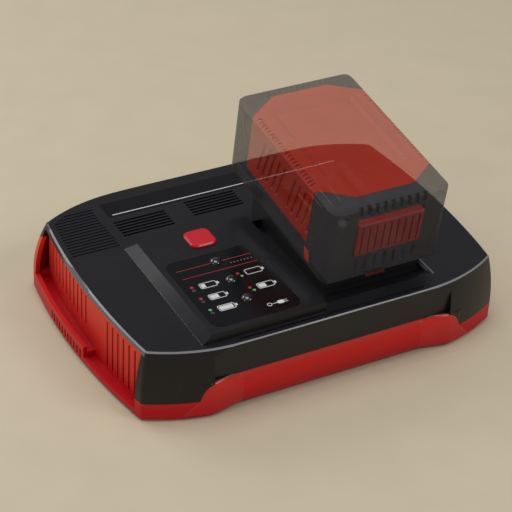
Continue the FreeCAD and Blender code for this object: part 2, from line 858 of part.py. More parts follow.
def pack_cover():
    """Red cover of the pack: hollow, with vents and a sunk label field."""
    cover = pack_hull().common(cover_zone(0))
    skin = size("bumper_skin") + THIN
    hollow = slab((-HALF + skin, HALF - skin), (FRONT + THIN, REAR - THIN), (0, TALL - skin))
    half, front = size("recess_half"), size("recess_front")
    rear, slope = front + size("recess_length"), size("recess_slope")
    field = tapered(
        (-half + slope / 2, half - slope / 2, front + slope / 2, rear - slope / 2),
        (-half, half, front, rear),
        (TALL - size("recess_depth"), TALL),
    )
    notches = []
    first, last = FRONT + size("corner_along") + 4, REAR - size("corner_along") - 4
    step = (last - first) / (counted("edge_grooves") - 1)
    for number in range(counted("edge_grooves")):
        y = first + number * step
        notch = slab((HALF - 4, BIG), (y, y + 1.0), (TALL - 1.4, BIG))
        notches += both_ends(notch)
    return cover.cut([hollow, field] + side_vents() + notches)


def bumper(near):
    """The front or the rear bumper: dark shell round one end of the pack."""
    gap = size("part_gap")
    end = (-1, LONG / 2) if near else (LONG / 2, LONG + 1)
    body = pack_hull().common(slab((-BIG, BIG), end, (0, BIG)))
    edge = (FRONT - gap, BIG) if near else (-BIG, REAR + gap)
    under = slab((-BIG, BIG), edge, (-1, LOW))
    return body.cut([cover_zone(gap), under])


def row_of(count, pitch, wide, along, level):
    """Equal cuts side by side, centred across the pack."""
    step, broad = size(pitch), size(wide)
    first = -((counted(count) - 1) * step + broad) / 2
    starts = [first + number * step for number in range(counted(count))]
    return [slab((x, x + broad), along, level) for x in starts]


def front_bumper():
    """Front bumper with the button window, latch channel, screw holes, ribs and slots."""
    body = bumper(True)
    gap, wide, travel = size("button_gap"), size("button_width") / 2, size("button_travel")
    low, high = size("button_low"), size("button_low") + size("button_height")
    level = (low - gap, high + travel + gap)
    window = slab((-wide - gap, wide + gap), (-1, size("button_depth") + gap), level)
    hook = size("hook_width") / 2 + gap
    shaft = slab((-hook, hook), (size("stem_front") - gap, size("stem_rear") + gap), (-1, low))
    roof = low + size("arm_thick") + travel + size("spring_length")
    nest = slab((-hook, hook), (size("stem_front") - gap, size("arm_rear") + gap), (low - gap, roof))
    tools = [window, shaft, nest]
    for x in (-size("boss_x"), size("boss_x")):
        start = FreeCAD.Vector(x, -1, size("boss_level"))
        along = FreeCAD.Vector(0, 1, 0)
        tools.append(Part.makeCylinder(size("boss_hole"), size("boss_depth") + 1, start, along))
    level = (TALL - size("top_rib_drop"), TALL + 1)
    tools += row_of("top_ribs", "top_rib_pitch", "top_rib_cut", (-1, size("top_rib_depth")), level)
    level = (size("low_slot_low"), size("low_slot_high"))
    tools += row_of("low_slots", "low_slot_pitch", "low_slot_cut", (-1, size("low_slot_depth")), level)
    return body.cut(tools)


def rear_bumper():
    """Rear bumper with the ribbed grip along its top edge."""
    depth = (LONG - size("grip_depth"), LONG + 1)
    level = (TALL - size("grip_drop"), TALL + 1)
    return bumper(False).cut(row_of("grip_ribs", "grip_pitch", "grip_cut", depth, level))


PACK_BOARD_HALF = "cell_length/2 - pack_board_inset"
PACK_BOARD_FRONT = "cell_first - pack_board_front"
PACK_BOARD_REAR = "cell_first + (cell_columns - 1)*cell_pitch + pack_board_rear"


def pack_base():
    """Dark base of the pack: tray, slide-on foot and contact slot."""
    gap = size("part_gap")
    body = pack_hull().common(slab((-BIG, BIG), (FRONT, REAR), (0, LOW - gap)))
    body = body.cut(slab((-HALF + THIN, HALF - THIN), (FRONT + THIN, REAR - THIN), (THIN, LOW)))
    front, rear = size("foot_front"), size("foot_front") + size("foot_length")
    drop, half = size("foot_drop"), size("foot_width") / 2
    neck = half - size("foot_groove")
    flange = slab((-half, half), (front, rear), (-drop, -drop + size("foot_flange")))
    stem = slab((-neck, neck), (front, rear), (-drop, 0))
    posts = []
    side = worth(f"{PACK_BOARD_HALF} - pack_post_side")
    ahead, behind = worth(f"{PACK_BOARD_FRONT} + pack_post_front"), worth(f"{PACK_BOARD_REAR} - pack_post_rear")
    for x in (-side, side):
        for y in (ahead, behind):
            at = FreeCAD.Vector(x, y, THIN)
            posts.append(Part.makeCylinder(size("pack_post_radius"), size("board_seat") - THIN, at))
    body = body.fuse([flange, stem] + posts)
    across = size("slot_half")
    slot = slab((-across, across), (size("slot_start"), BIG), (-BIG, -size("slot_roof")))
    return body.cut(slot)


def release_button():
    """Ribbed release button with its arm and hook, in one piece."""
    wide, low = size("button_width") / 2, size("button_low")
    high = low + size("button_height")
    plate = slab((-wide, wide), (-size("button_proud"), size("button_depth")), (low, high))
    edges = [e for e in plate.Edges if e.BoundBox.YMin < -size("button_proud") + 0.01
             and e.BoundBox.YLength < 0.01]
    plate = plate.makeFillet(1.0, edges)
    count = counted("button_grooves")
    step = (2 * wide - 6) / (count - 1)
    grooves = []
    for number in range(count):
        x = -wide + 3 + number * step
        grooves.append(slab((x - 0.6, x + 0.6), (-size("button_proud") - 1, -size("button_proud") + 0.9),
                            (low + 2, high - 2)))
    plate = plate.cut(grooves)
    half = size("hook_width") / 2
    arm = slab((-half, half), (size("stem_front"), size("arm_rear")), (low, low + size("arm_thick")))
    stem = slab((-half, half), (size("stem_front"), size("stem_rear")),
                (-size("foot_drop") - size("hook_drop"), low + 1))
    return plate.fuse([arm, stem])


def dock_plate():
    """Plinth under the pack's foot, with the two guide rails."""
    top = -size("foot_drop") - size("rail_gap")
    half = size("foot_width") / 2 + size("rail_gap")
    outer = half + size("rail_wall")
    front, rear = size("plinth_front"), size("plinth_rear")
    plinth = slab((-outer, outer), (front, rear), (-60, top))
    rail_end = size("rail_front") + size("rail_length")
    wall = slab((half, outer), (size("rail_front"), rail_end), (top - 1, -size("rail_gap") * 2))
    under = -size("foot_drop") + size("foot_flange") + size("rail_gap")
    inner = size("foot_width") / 2 - size("foot_groove") + size("rail_gap")
    lip = slab((inner, outer), (size("rail_front"), rail_end), (under, -size("rail_gap") * 2))
    rail = wall.fuse(lip)
    hook = size("hook_width") / 2 + 0.8
    channel = slab((-hook, hook), (-BIG, size("stem_rear") + 0.8), (top - size("hook_drop") - 0.5, BIG))
    body = plinth.fuse([rail, mirrored(rail, x=1)]).cut(channel)
    body.Placement = PACK
    floor = TOP - size("dock_depth")
    below = slab((-BIG, BIG), (-BIG, BIG), (-BIG, floor))
    wall_y = size("dock_rear")
    deck = slab((-BIG, BIG), (wall_y, BIG), (-BIG, TOP))
    front_ramp = -size("dock_front") + size("dock_ramp") + 0.2
    nose = slab((-BIG, BIG), (-BIG, front_ramp), (-BIG, TOP + 1))
    return body.cut([below, deck, nose])


def terminal_block():
    """Insulated block at the rear of the dock that carries the blades."""
    front, half = size("block_front"), size("block_half")
    top = -size("foot_drop") - size("rail_gap")
    body = slab((-half, half), (front, front + size("block_length")), (top, -size("slot_roof") - 0.5))
    upright = [e for e in body.Edges if e.BoundBox.ZLength > 2]
    return body.makeFillet(1.0, upright)


def blade_places():
    """Middle of each contact blade across the dock."""
    count = counted("blade_count")
    return [(number - (count - 1) / 2) * size("blade_pitch") for number in range(count)]


BLADE_LOW = "-foot_drop + 0.8"
CLIP_INNER = "blade_thick/2 + clip_gap"


def contact_blades():
    """Flat blades that stand out of the terminal block."""
    blades = []
    for number, x in enumerate(blade_places()):
        blades.append(block(f"blade_{number}", (f"{x} - blade_thick/2", f"{x} + blade_thick/2"),
                            ("block_front - blade_length", "block_front"),
                            (BLADE_LOW, BLADE_LOW + " + blade_height")))
    return in_pack(group("contact_blades", blades))


def pack_terminals():
    """Paired spring leaves in the pack, either side of each blade."""
    leaves = []
    rear = "slot_start + clip_length"
    for number, x in enumerate(blade_places()):
        for side in (-1, 1):
            near, far = f"{x} + {side}*({CLIP_INNER})", f"{x} + {side}*({CLIP_INNER} + clip_thick)"
            span = (near, far) if side > 0 else (far, near)
            leaves.append(block(f"leaf_{number}_{'right' if side > 0 else 'left'}", span,
                                ("slot_start", rear), (BLADE_LOW, BLADE_LOW + " + blade_height")))
    return in_pack(group("pack_terminals", leaves))


def cell_spots():
    """Centre of each cell along the pack and above its floor."""
    spots = []
    for layer in range(2):
        for column in range(counted("cell_columns")):
            spots.append((f"cell_first + {column}*cell_pitch", f"cell_level + {layer}*cell_pitch"))
    return spots


def cells():
    """Two layers of round cells across the pack."""
    things = []
    for number, (along, up) in enumerate(cell_spots()):
        things.append(rod(f"cell_{number}", "cell_radius", "cell_length", ("-cell_length/2", along, up), "x"))
    return in_pack(group("cells", things))


def cell_carrier():
    """Two cradles on the pack's board, with a seat for each lower cell."""
    frames = []
    start, reach = "cell_first - cell_radius", "cell_first + (cell_columns - 1)*cell_pitch + cell_radius"
    near, far = "cell_length/2 - carrier_inset - carrier_thick", "cell_length/2 - carrier_inset"
    for side, (low, high) in (("left", (f"-({far})", f"-({near})")), ("right", (near, far))):
        level = ("board_seat + board_thick", "cell_level")
        plate = block("carrier_plate_" + side, (low, high), (start, reach), level)
        lower = cell_spots()[:counted("cell_columns")]
        seats = [rod(f"seat_{side}_{n}", "cell_radius + 0.02", "carrier_thick + 2",
                     (low + " - 1", along, up), "x")
                 for n, (along, up) in enumerate(lower)]
        frames.append(cut("carrier_" + side, plate, *seats))
    return in_pack(group("cell_carrier", frames))


def cell_links():
    """Nickel strips that join neighbouring cell ends."""
    strips = []
    for side, low in (("left", "-cell_length/2 - link_thick"), ("right", "cell_length/2")):
        for column in range(counted("cell_columns")):
            along = f"cell_first + {column}*cell_pitch"
            strips.append(block(f"link_{side}_{column}", (low, low + " + link_thick"),
                                (along + " - link_width/2", along + " + link_width/2"),
                                ("cell_level - 4", "cell_level + cell_pitch + 4")))
    return in_pack(group("cell_links", strips))


def pack_pieces():
    """Every sub-part that leaves with the battery pack."""
    packed("pack_cover", pack_cover())
    packed("pack_base", pack_base())
    packed("front_bumper", front_bumper())
    packed("rear_bumper", rear_bumper())
    packed("release_button", release_button())
    cells()
    cell_carrier()
    cell_links()
    pack_terminals()
    board = block("pack_board_sheet", (f"-({PACK_BOARD_HALF})", PACK_BOARD_HALF),
                  (PACK_BOARD_FRONT, PACK_BOARD_REAR), ("board_seat", "board_seat + board_thick"))
    in_pack(group("pack_board", [board]))
    strips = []
    along = ("pack_round + side_label_front", "pack_length - bumper_rear - side_label_rear")
    for side, x in (("left", ("-pack_width/2 - side_label_thick", "-pack_width/2")),
                    ("right", ("pack_width/2", "pack_width/2 + side_label_thick"))):
        strips.append(block("side_label_" + side, x, along, ("side_label_low", "side_label_high")))
    in_pack(group("side_labels", strips))
    screws = []
    for side in (-1, 1):
        x = f"{side}*boss_x"
        head = rod(f"pack_screw_head_{side}", "boss_hole - 0.5", "pack_head_rise",
                   (x, "boss_depth - pack_head_rise", "boss_level"), "y")
        screws.append(head)
    in_pack(group("pack_screws", screws))
    roof = "button_low + arm_thick + button_travel"
    coil = rod("latch_coil", "spring_radius", "spring_length", ("0", "arm_rear - spring_radius + 0.1", roof))
    in_pack(group("latch_spring", [coil]))


def display_label():
    """Glossy label panel of the console, holed for the three lights."""
    right = "dock_x - dock_left - label_right"
    left, front = right + " - label_width", "-label_front"
    rear = front + " + label_length"
    corners = [(left, front), (right, front), (right, rear), (left, rear)]
    level = "top_level + console_rise - label_thick"
    panel = rounded("label_panel", "XY_Plane", corners, "label_thick", level, "label_round")
    holes = [rod(f"light_hole_{n}", "light_radius + 0.1", "label_thick + 2", (x, y, level + " - 1"))
             for n, (x, y) in enumerate(light_places())]
    return cut("display_label", panel, *holes)


def light_places():
    """Centres of the three lights, as expressions."""
    return [("-light_row", f"-light_first + {number}*light_pitch") for number in range(3)]


def light_lenses():
    """Three round lenses that stand on their board and come up through the label."""
    floor = "top_level + console_rise - shell_wall"
    lenses = [rod(f"lens_{number}", "light_radius", "shell_wall + light_dome", (x, y, floor))
              for number, (x, y) in enumerate(light_places())]
    return group("light_lenses", lenses)


def nameplate_strip():
    """Glossy strip across the rear of the deck."""
    front = "strip_front"
    rear = "strip_front + strip_width"
    corners = [("-strip_left", front), ("strip_right", front), ("strip_right", rear), ("-strip_left", rear)]
    return pad("nameplate_strip", "XY_Plane", corners, "strip_thick", "top_level - strip_thick")


def select_button():
    """Rounded square push button with a stem to its switch."""
    half = "select_size/2"
    corners = [(f"-select_x - {half}", f"select_y - {half}"), (f"-select_x + {half}", f"select_y - {half}"),
               (f"-select_x + {half}", f"select_y + {half}"), (f"-select_x - {half}", f"select_y + {half}")]
    floor = "top_level + console_rise - shell_wall"
    cap = rounded("select_cap", "XY_Plane", corners, "shell_wall + select_proud", floor, "select_round")
    upright = cap.Tip
    rim = [f"Edge{n}" for n, edge in enumerate(upright.Shape.Edges, start=1)
           if edge.BoundBox.ZMin > worth("top_level + console_rise + select_proud") - 0.01]
    soft = cap.newObject("PartDesign::Chamfer", "select_soft_edge")
    soft.Base = (upright, rim)
    soft.setExpression("Size", in_sheet("select_proud/2"))
    at = ("-select_x", "select_y", floor + " - stem_length")
    stem = rod("select_stem", "stem_radius", "stem_length", at)
    return joined("select_button", cap, stem)


def rubber_feet():
    """Four rubber pads, let into the bottom shell."""
    feet = []
    for number, (x, y) in enumerate(CORNERS):
        pad_box = centred(f"rubber_pad_{number}", (f"{x}*rubber_x", f"{y}*rubber_y"),
                          "rubber_long", "rubber_wide", ("0", "shell_base + rubber_seat"))
        doc.recompute()
        soft = doc.addObject("Part::Chamfer", f"rubber_foot_{number}")
        soft.Base = pad_box
        bevel = size("rubber_bevel")
        soft.Edges = [(n, bevel, bevel) for n, edge in enumerate(pad_box.Shape.Edges, start=1)
                      if edge.BoundBox.ZMax < 0.01]
        feet.append(soft)
    return group("rubber_feet", feet)


def housing_screws():
    """Screws that pull the bottom shell up against the top shell."""
    screws = []
    for number, (x, y) in enumerate(CORNERS):
        at = (f"{x}*screw_x", f"{y}*screw_y")
        shank = rod(f"shank_{number}", "screw_radius", "screw_length - head_seat - 1",
                    (*at, "shell_base + head_seat"))
        head = rod(f"head_{number}", "screw_head", "head_seat - 0.2", (*at, "shell_base + 0.2"))
        screws.append(joined(f"screw_{number}", shank, head))
    return group("housing_screws", screws)


def main_board():
    """Circuit board on the posts of the bottom shell."""
    half_x, half_y = "board_x/2", "board_y/2"
    corners = [(f"-{half_x}", f"-{half_y}"), (half_x, f"-{half_y}"), (half_x, half_y), (f"-{half_x}", half_y)]
    sheet_body = pad("board_sheet", "XY_Plane", corners, "board_thick", "board_level")
    notches = [centred(f"board_notch_{number}", (f"{x}*screw_x", f"{y}*screw_y"), "2*boss_radius + 3",
                       "2*boss_radius + 3", ("board_level - 1", "board_level + board_thick + 1"))
               for number, (x, y) in enumerate(CORNERS)]
    return cut("main_board", sheet_body, *notches)


ON_BOARD = "board_level + board_thick"


def transformer():
    """Ferrite core in two legs and a yoke, and the winding round it."""
    at = ("transformer_x", "transformer_y")
    z = (ON_BOARD, ON_BOARD + " + core_rise")
    outer = centred("core_outer", at, "core_x", "core_y*0.45", z)
    windows = []
    for side in (-1, 1):
        middle = f"transformer_x + {side}*core_x*0.27"
        windows.append(centred(f"core_window_{side}", (middle, "transformer_y"), "core_x*0.22", "core_y",
                               (ON_BOARD + " + core_rise*0.2", ON_BOARD + " + core_rise*0.8")))
    core = cut("transformer_core", outer, *windows)
    level = (ON_BOARD + " + core_rise*0.2", ON_BOARD + " + core_rise*0.8")
    swell = centred("coil_outer", at, "core_x*0.72", "core_y*0.45 + 2*coil_swell", level)
    cores = [centred("coil_leg", at, "core_x*0.32", "core_y*0.45", (level[0] + " - 1", level[1] + " + 1"))]
    coil = cut("coil_ring", swell, *cores)
    legs = [centred(f"coil_clear_{side}", (f"transformer_x + {side}*core_x*0.44", "transformer_y"),
                    "core_x*0.12", "core_y*0.45 + 0.2", (level[0] + " - 1", level[1] + " + 1"))
            for side in (-1, 1)]
    return core, cut("transformer_coil", coil, *legs)


def heat_sink():
    """Finned heat sink on the board."""
    base = block("sink_base", ("sink_x - sink_length/2", "sink_x + sink_length/2"),
                 ("sink_y", "sink_y + 3"), (ON_BOARD, ON_BOARD + " + sink_rise"))
    fins = []
    for number in range(counted("sink_fins")):
        x = f"sink_x - sink_length/2 + {number}*(sink_length - 2)/(sink_fins - 1)"
        fins.append(block(f"sink_fin_{number}", (x, x + " + 2"), ("sink_y + 2", "sink_y + sink_depth"),
                          (ON_BOARD, ON_BOARD + " + sink_rise")))
    return joined("heat_sink", base, *fins)


def capacitors():
    """Two smoothing capacitors that stand on the board."""
    cans = [rod(f"capacitor_{n}", "cap_radius", "cap_rise", (f"cap_x + {n}*cap_pitch", "cap_y", ON_BOARD))
            for n in range(2)]
    return group("capacitors", cans)


def choke():
    """Ring choke that lies on the board."""
    at = ("choke_x", "choke_y")
    ring = rod("choke_ring", "choke_radius + choke_tube", "2*choke_tube", (*at, ON_BOARD))
    hole = rod("choke_hole", "choke_radius - choke_tube", "2*choke_tube + 2", (*at, ON_BOARD + " - 1"))
    return cut("filter_choke", ring, hole)


def light_board():
    """Small board under the console that carries the lights and the switch."""
    low = "top_level + console_rise - shell_wall - board_thick"
    sheet_box = block("light_sheet", ("-light_row - light_sheet_left", "-light_row + light_sheet_right"),
                      ("-light_first - light_sheet_front", "select_y - select_size/2 - light_sheet_gap"),
                      (low, low + " + board_thick"))
    return group("light_board", [sheet_box])


def select_switch():
    """Press switch under the select button, on its own bracket."""
    roof = "top_level + console_rise - shell_wall"
    top = roof + " - stem_length - select_travel - 0.1"
    foot = top + " - switch_rise"
    at = ("-select_x", "select_y")
    body = centred("switch_body", at, "switch_size", "switch_size", (foot, top))
    bridge = centred("switch_bridge", at, "select_size + 2*bridge_reach", "bridge_width",
                     (foot + " - bridge_thick", foot))
    ears = [centred(f"switch_ear_{side}",
                    (f"-select_x + {side}*(select_size/2 + bridge_reach - bridge_ear/2)", "select_y"),
                    "bridge_ear", "bridge_width", (foot + " - 0.2", roof))
            for side in (-1, 1)]
    return joined("select_switch", body, bridge, *ears)


def cable_gland():
    """Flanged gland in the rear wall, with the bore for a lead."""
    inner = "middle_y - skirt_draft - band_inset - shell_wall - 0.5 - gland_flange"
    at = ("gland_x", inner, "gland_level")
    sleeve = rod("gland_sleeve", "gland_radius", "gland_length", at, "y")
    flange = rod("gland_collar", "gland_radius + gland_flange", "gland_flange", at, "y")
    through = ("gland_x", inner + " - 1", "gland_level")
    bore = rod("gland_hole", "gland_bore", "gland_length + 2", through, "y")
    return cut("cable_gland", joined("gland_body", sleeve, flange), bore)


def charger_pieces():
    """Every sub-part that stays with the charger."""
    made("upper_shell", upper_shell())
    made("lower_shell", lower_shell())
    made("dock_plate", dock_plate())
    packed("terminal_block", terminal_block())
    contact_blades()
    display_label()
    light_lenses()
    nameplate_strip()
    select_button()
    rubber_feet()
    housing_screws()
    main_board()
    transformer()
    heat_sink()
    capacitors()
    choke()
    light_board()
    select_switch()
    cable_gland()


NODES = [
    "upper_shell", "lower_shell", "dock_plate", "terminal_block", "contact_blades",
    "display_label", "light_lenses", "nameplate_strip", "select_button", "select_switch",
    "light_board", "rubber_feet", "housing_screws", "main_board", "transformer_core",
    "transformer_coil", "heat_sink", "capacitors", "filter_choke", "cable_gland",
    "pack_cover", "pack_base", "front_bumper", "rear_bumper", "release_button",
    "cells", "cell_carrier", "cell_links", "pack_terminals", "pack_board",
    "side_labels", "pack_screws", "latch_spring",
]


def check_and_write():
    """Refuse a failed feature or a bad solid, then write each sub-part."""
    failed = [thing.Name for thing in doc.Objects if "Invalid" in thing.State or "Error" in thing.State]
    if failed:
        raise RuntimeError("failed features: " + ", ".join(failed))
    os.makedirs("parts", exist_ok=True)
    for name in NODES:
        thing = doc.getObject(name)
        thing.Label = name
        shape = thing.Shape
        if shape.isNull() or not shape.isValid() or not shape.Solids:
            raise RuntimeError("bad solid: " + name)
        shape.exportStep(f"parts/{name}.step")
        box = shape.BoundBox
        reach = f"z {box.ZMin:.1f} to {box.ZMax:.1f}"
        print(f"{name}: {len(shape.Solids)} solids, {shape.Volume:.0f} mm3, {reach}")


charger_pieces()
pack_pieces()
doc.removeObject("probe")
doc.recompute()
check_and_write()
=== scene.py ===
import json
import math

import bmesh
import bpy
from mathutils import Matrix, Vector
from mathutils.bvhtree import BVHTree

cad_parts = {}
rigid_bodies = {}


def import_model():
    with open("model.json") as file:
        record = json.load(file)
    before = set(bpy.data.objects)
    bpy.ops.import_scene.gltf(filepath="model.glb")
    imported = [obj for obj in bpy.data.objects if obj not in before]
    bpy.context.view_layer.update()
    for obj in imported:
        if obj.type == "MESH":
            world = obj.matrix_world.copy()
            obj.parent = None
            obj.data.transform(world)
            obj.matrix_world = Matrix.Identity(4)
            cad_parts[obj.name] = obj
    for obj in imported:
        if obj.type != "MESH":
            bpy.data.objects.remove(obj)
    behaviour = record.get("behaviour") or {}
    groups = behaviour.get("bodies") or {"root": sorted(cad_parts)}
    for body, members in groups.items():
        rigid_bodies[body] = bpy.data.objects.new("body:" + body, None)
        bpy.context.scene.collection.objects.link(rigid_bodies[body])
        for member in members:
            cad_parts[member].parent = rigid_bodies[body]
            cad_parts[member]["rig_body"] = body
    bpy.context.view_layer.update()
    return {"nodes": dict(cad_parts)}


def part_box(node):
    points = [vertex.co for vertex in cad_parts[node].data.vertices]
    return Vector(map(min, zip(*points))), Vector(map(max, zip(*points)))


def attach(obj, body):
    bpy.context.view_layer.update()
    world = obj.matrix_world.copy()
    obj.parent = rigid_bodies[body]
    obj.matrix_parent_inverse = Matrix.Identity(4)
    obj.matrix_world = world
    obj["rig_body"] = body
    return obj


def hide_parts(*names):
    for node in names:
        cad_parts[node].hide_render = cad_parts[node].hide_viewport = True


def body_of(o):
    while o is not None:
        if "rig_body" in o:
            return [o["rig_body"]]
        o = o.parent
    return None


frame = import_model()

bl_info = {
    "name": "Battery charger dressing",
    "version": (1, 0, 0),
    "blender": (4, 5, 0),
    "location": "View3D > Sidebar > Charger",
    "description": "Finishes and small pieces for a bench charger with its docked battery pack",
    "category": "Object",
}

MM = 0.001

# Where the camera stands: degrees round the charger, degrees up and degrees of roll, then metres from its target
# and millimetres of lens.
AZIMUTH, ELEVATION, ROLL = 30.03, 34.68, 3.35
DISTANCE, LENS = 1.0906, 127.1
TARGET = Vector((0.0, 0.01187, 0.025))

# CAD pieces that carry the printed marks and the domes.
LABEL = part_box("display_label")
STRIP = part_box("nameplate_strip")
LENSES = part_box("light_lenses")

# Where black meets red beside each foot: the curve rises from the foot's level to the band's, from its outer
# end to its inner end.
FOOT_LEVEL, ARCH_LEVEL = 0.012, 0.023
ARCH_OUT, ARCH_IN, ARCH_POWER = 0.0853, 0.064, 6.0
# The red rear corners end at black caps: the caps' lower level falls towards the rear, and stays below the deck.
CAP_LEVEL, CAP_SLOPE, CAP_TOP = 0.067, -0.45, 0.0415
CAP_X, CAP_Y = 0.106, 0.045
# The chamfer round the deck, which carries a pale painted highlight: its level, half its height, the tilt of its
# faces and how far that may differ.
RIM_LEVEL, RIM_HALF = 0.0446, 0.00045
RIM_TILT, RIM_SPREAD = 0.707, 0.12
# The upright edge at both ends of the deck, which carries a painted highlight too, though fainter.
END_LEVEL, END_FACING, END_HIGHLIGHT = 0.0418, 0.9, 0.6
# The edges along the dock's two long sides, which carry a painted highlight as well.
DOCK_LEFT, DOCK_RIGHT, DOCK_LINE = -0.0036, 0.0717, 0.0006
DOCK_MIDDLE, DOCK_HALF, DOCK_TOP = -0.0255, 0.0455, 0.0449
DOCK_HIGHLIGHT = 0.5
# The console's left slope, which turns from satin to matt between its rear and its front.
SLOPE_LEVEL, SLOPE_FACING = 0.04502, -0.4
SLOPE_REAR, SLOPE_LONG, SLOPE_LEAST, SLOPE_MATT = 0.01, 0.08, 0.25, 0.5
# Pale grey painted into the black at those edges as a highlight.
HIGHLIGHT_TONE = (0.2, 0.195, 0.21, 1.0)
# Painted light: the red turns a little towards orange between these heights, as if lit from above.
PAINTED_LIGHT_LOW, PAINTED_LIGHT_HIGH = 0.006, 0.042
PAINTED_LIGHT_TONE = (0.76, 0.05, 0.018, 1.0)

# Millimetres, for the slots low on the outer walls at both ends.
CUT_COUNT, CUT_FIRST, CUT_PITCH, CUT_WIDE = 11, -9.0, 4.1, 1.7
CUT_LOW, CUT_HIGH, CUT_IN, CUT_OUT = 2.6, 8.4, 121.6, 130.0

# Millimetres, for the display's marks: each row's distance from the film's rear edge, and how full its battery
# is.
RULE_ROWS, RULE_WIDE = (9.5, 17.5), 0.35
LEFT_ROWS = ((30.0, 0.3), (41.5, 0.6), (53.0, 0.95))
RIGHT_ROWS = ((28.0, 0.0), (43.0, 0.5))
WHITE, RED, GREEN, GREY = range(4)

# Millimetres and degrees, for the pack's own frame and for the red tips of its side strips.
PACK_AT, PACK_PITCH = (37.5, -67.0, 55.0), 6.5
TIP_FACES = (38.8, 38.9)
TIP_OUTLINE = ((17, 3), (22, 3), (24, 10.5), (19, 10.5))

# Each lamp's name, place, aim, size and power.
LAMPS = (
    ("rear_left", (-0.55, 1.0, 0.75), (0, 0, 0.03), (0.9, 0.45), 5.0),
    ("top_fill", (-0.1, 0.1, 1.4), (0, 0, 0.03), (0.8, 0.8), 8.5),
    ("front_right", (0.6, -0.85, 1.0), (0, 0, 0.03), (0.5, 0.5), 4.5),
    ("left_end", (-1.3, -0.35, 0.5), (-0.1, 0, 0.03), (0.6, 0.4), 2.7),
)


def settings():
    """The sizes and colours of this file, as the panel shows them."""
    return bpy.context.scene.charger


class ChargerSettings(bpy.types.PropertyGroup):
    """Colours and small sizes that a user would change."""

    shell_black: bpy.props.FloatVectorProperty(
        name="Black shell", description="Colour of the top shell", subtype="COLOR",
        default=(0.0062, 0.0058, 0.0072))
    shell_red: bpy.props.FloatVectorProperty(
        name="Red shell", description="Colour of the bottom shell", subtype="COLOR",
        default=(0.5, 0.002, 0.009))
    cover_red: bpy.props.FloatVectorProperty(
        name="Pack cover", description="Colour of the pack's cover", subtype="COLOR",
        default=(0.34, 0.02, 0.006))
    bumper_grey: bpy.props.FloatVectorProperty(
        name="Pack bumpers", description="Colour of the pack's bumpers", subtype="COLOR",
        default=(0.028, 0.026, 0.028))
    cover_alpha: bpy.props.FloatProperty(
        name="Cover opacity", description="How solid the pack's cover looks", default=0.75, min=0.0, max=1.0)
    bumper_alpha: bpy.props.FloatProperty(
        name="Bumper opacity", description="How solid the pack's bumpers look", default=0.8, min=0.0, max=1.0)
    print_rise: bpy.props.FloatProperty(
        name="Print rise", description="Height of printed marks over their film", unit="LENGTH",
        default=0.00006)
    lens_rise: bpy.props.FloatProperty(
        name="Lens rise", description="Height of the domed lenses over the label", unit="LENGTH",
        default=0.0021)


# Node groups that several finishes share


def empty_group(name, inputs, outputs):
    """A shader node group with its sockets, and its two end nodes."""
    group = bpy.data.node_groups.new(name, "ShaderNodeTree")
    for label, kind, value in inputs:
        socket = group.interface.new_socket(name=label, in_out="INPUT", socket_type=kind)
        if value is not None:
            socket.default_value = value
    for label, kind in outputs:
        group.interface.new_socket(name=label, in_out="OUTPUT", socket_type=kind)
    return group, group.nodes.new("NodeGroupInput"), group.nodes.new("NodeGroupOutput")


def moulded_grain():
    """Fine moulded texture: a height for Bump, and a roughness that drifts slowly."""
    name = "moulded_grain"
    if name in bpy.data.node_groups:
        return bpy.data.node_groups[name]
    group, start, end = empty_group(
        name,
        [("Grain Scale", "NodeSocketFloat", 2600.0), ("Cloud Scale", "NodeSocketFloat", 26.0),
         ("Roughness", "NodeSocketFloat", 0.4), ("Drift", "NodeSocketFloat", 0.1)],
        [("Height", "NodeSocketFloat"), ("Roughness", "NodeSocketFloat"), ("Cloud", "NodeSocketFloat")],
    )
    nodes, links = group.nodes, group.links
    place = nodes.new("ShaderNodeTexCoord")
    grain = nodes.new("ShaderNodeTexNoise")
    cloud = nodes.new("ShaderNodeTexNoise")
    cloud.inputs["Detail"].default_value = 5.0
    spread = nodes.new("ShaderNodeMath")
    spread.operation = "SUBTRACT"
    spread.inputs[1].default_value = 0.5
    amount = nodes.new("ShaderNodeMath")
    amount.operation = "MULTIPLY_ADD"
    for noise, label in ((grain, "Grain Scale"), (cloud, "Cloud Scale")):
        links.new(place.outputs["Object"], noise.inputs["Vector"])
        links.new(start.outputs[label], noise.inputs["Scale"])
    links.new(cloud.outputs["Fac"], spread.inputs[0])
    links.new(spread.outputs[0], amount.inputs[0])
    links.new(start.outputs["Drift"], amount.inputs[1])
    links.new(start.outputs["Roughness"], amount.inputs[2])
    links.new(grain.outputs["Fac"], end.inputs["Height"])
    links.new(amount.outputs[0], end.inputs["Roughness"])
    links.new(cloud.outputs["Fac"], end.inputs["Cloud"])
    return group


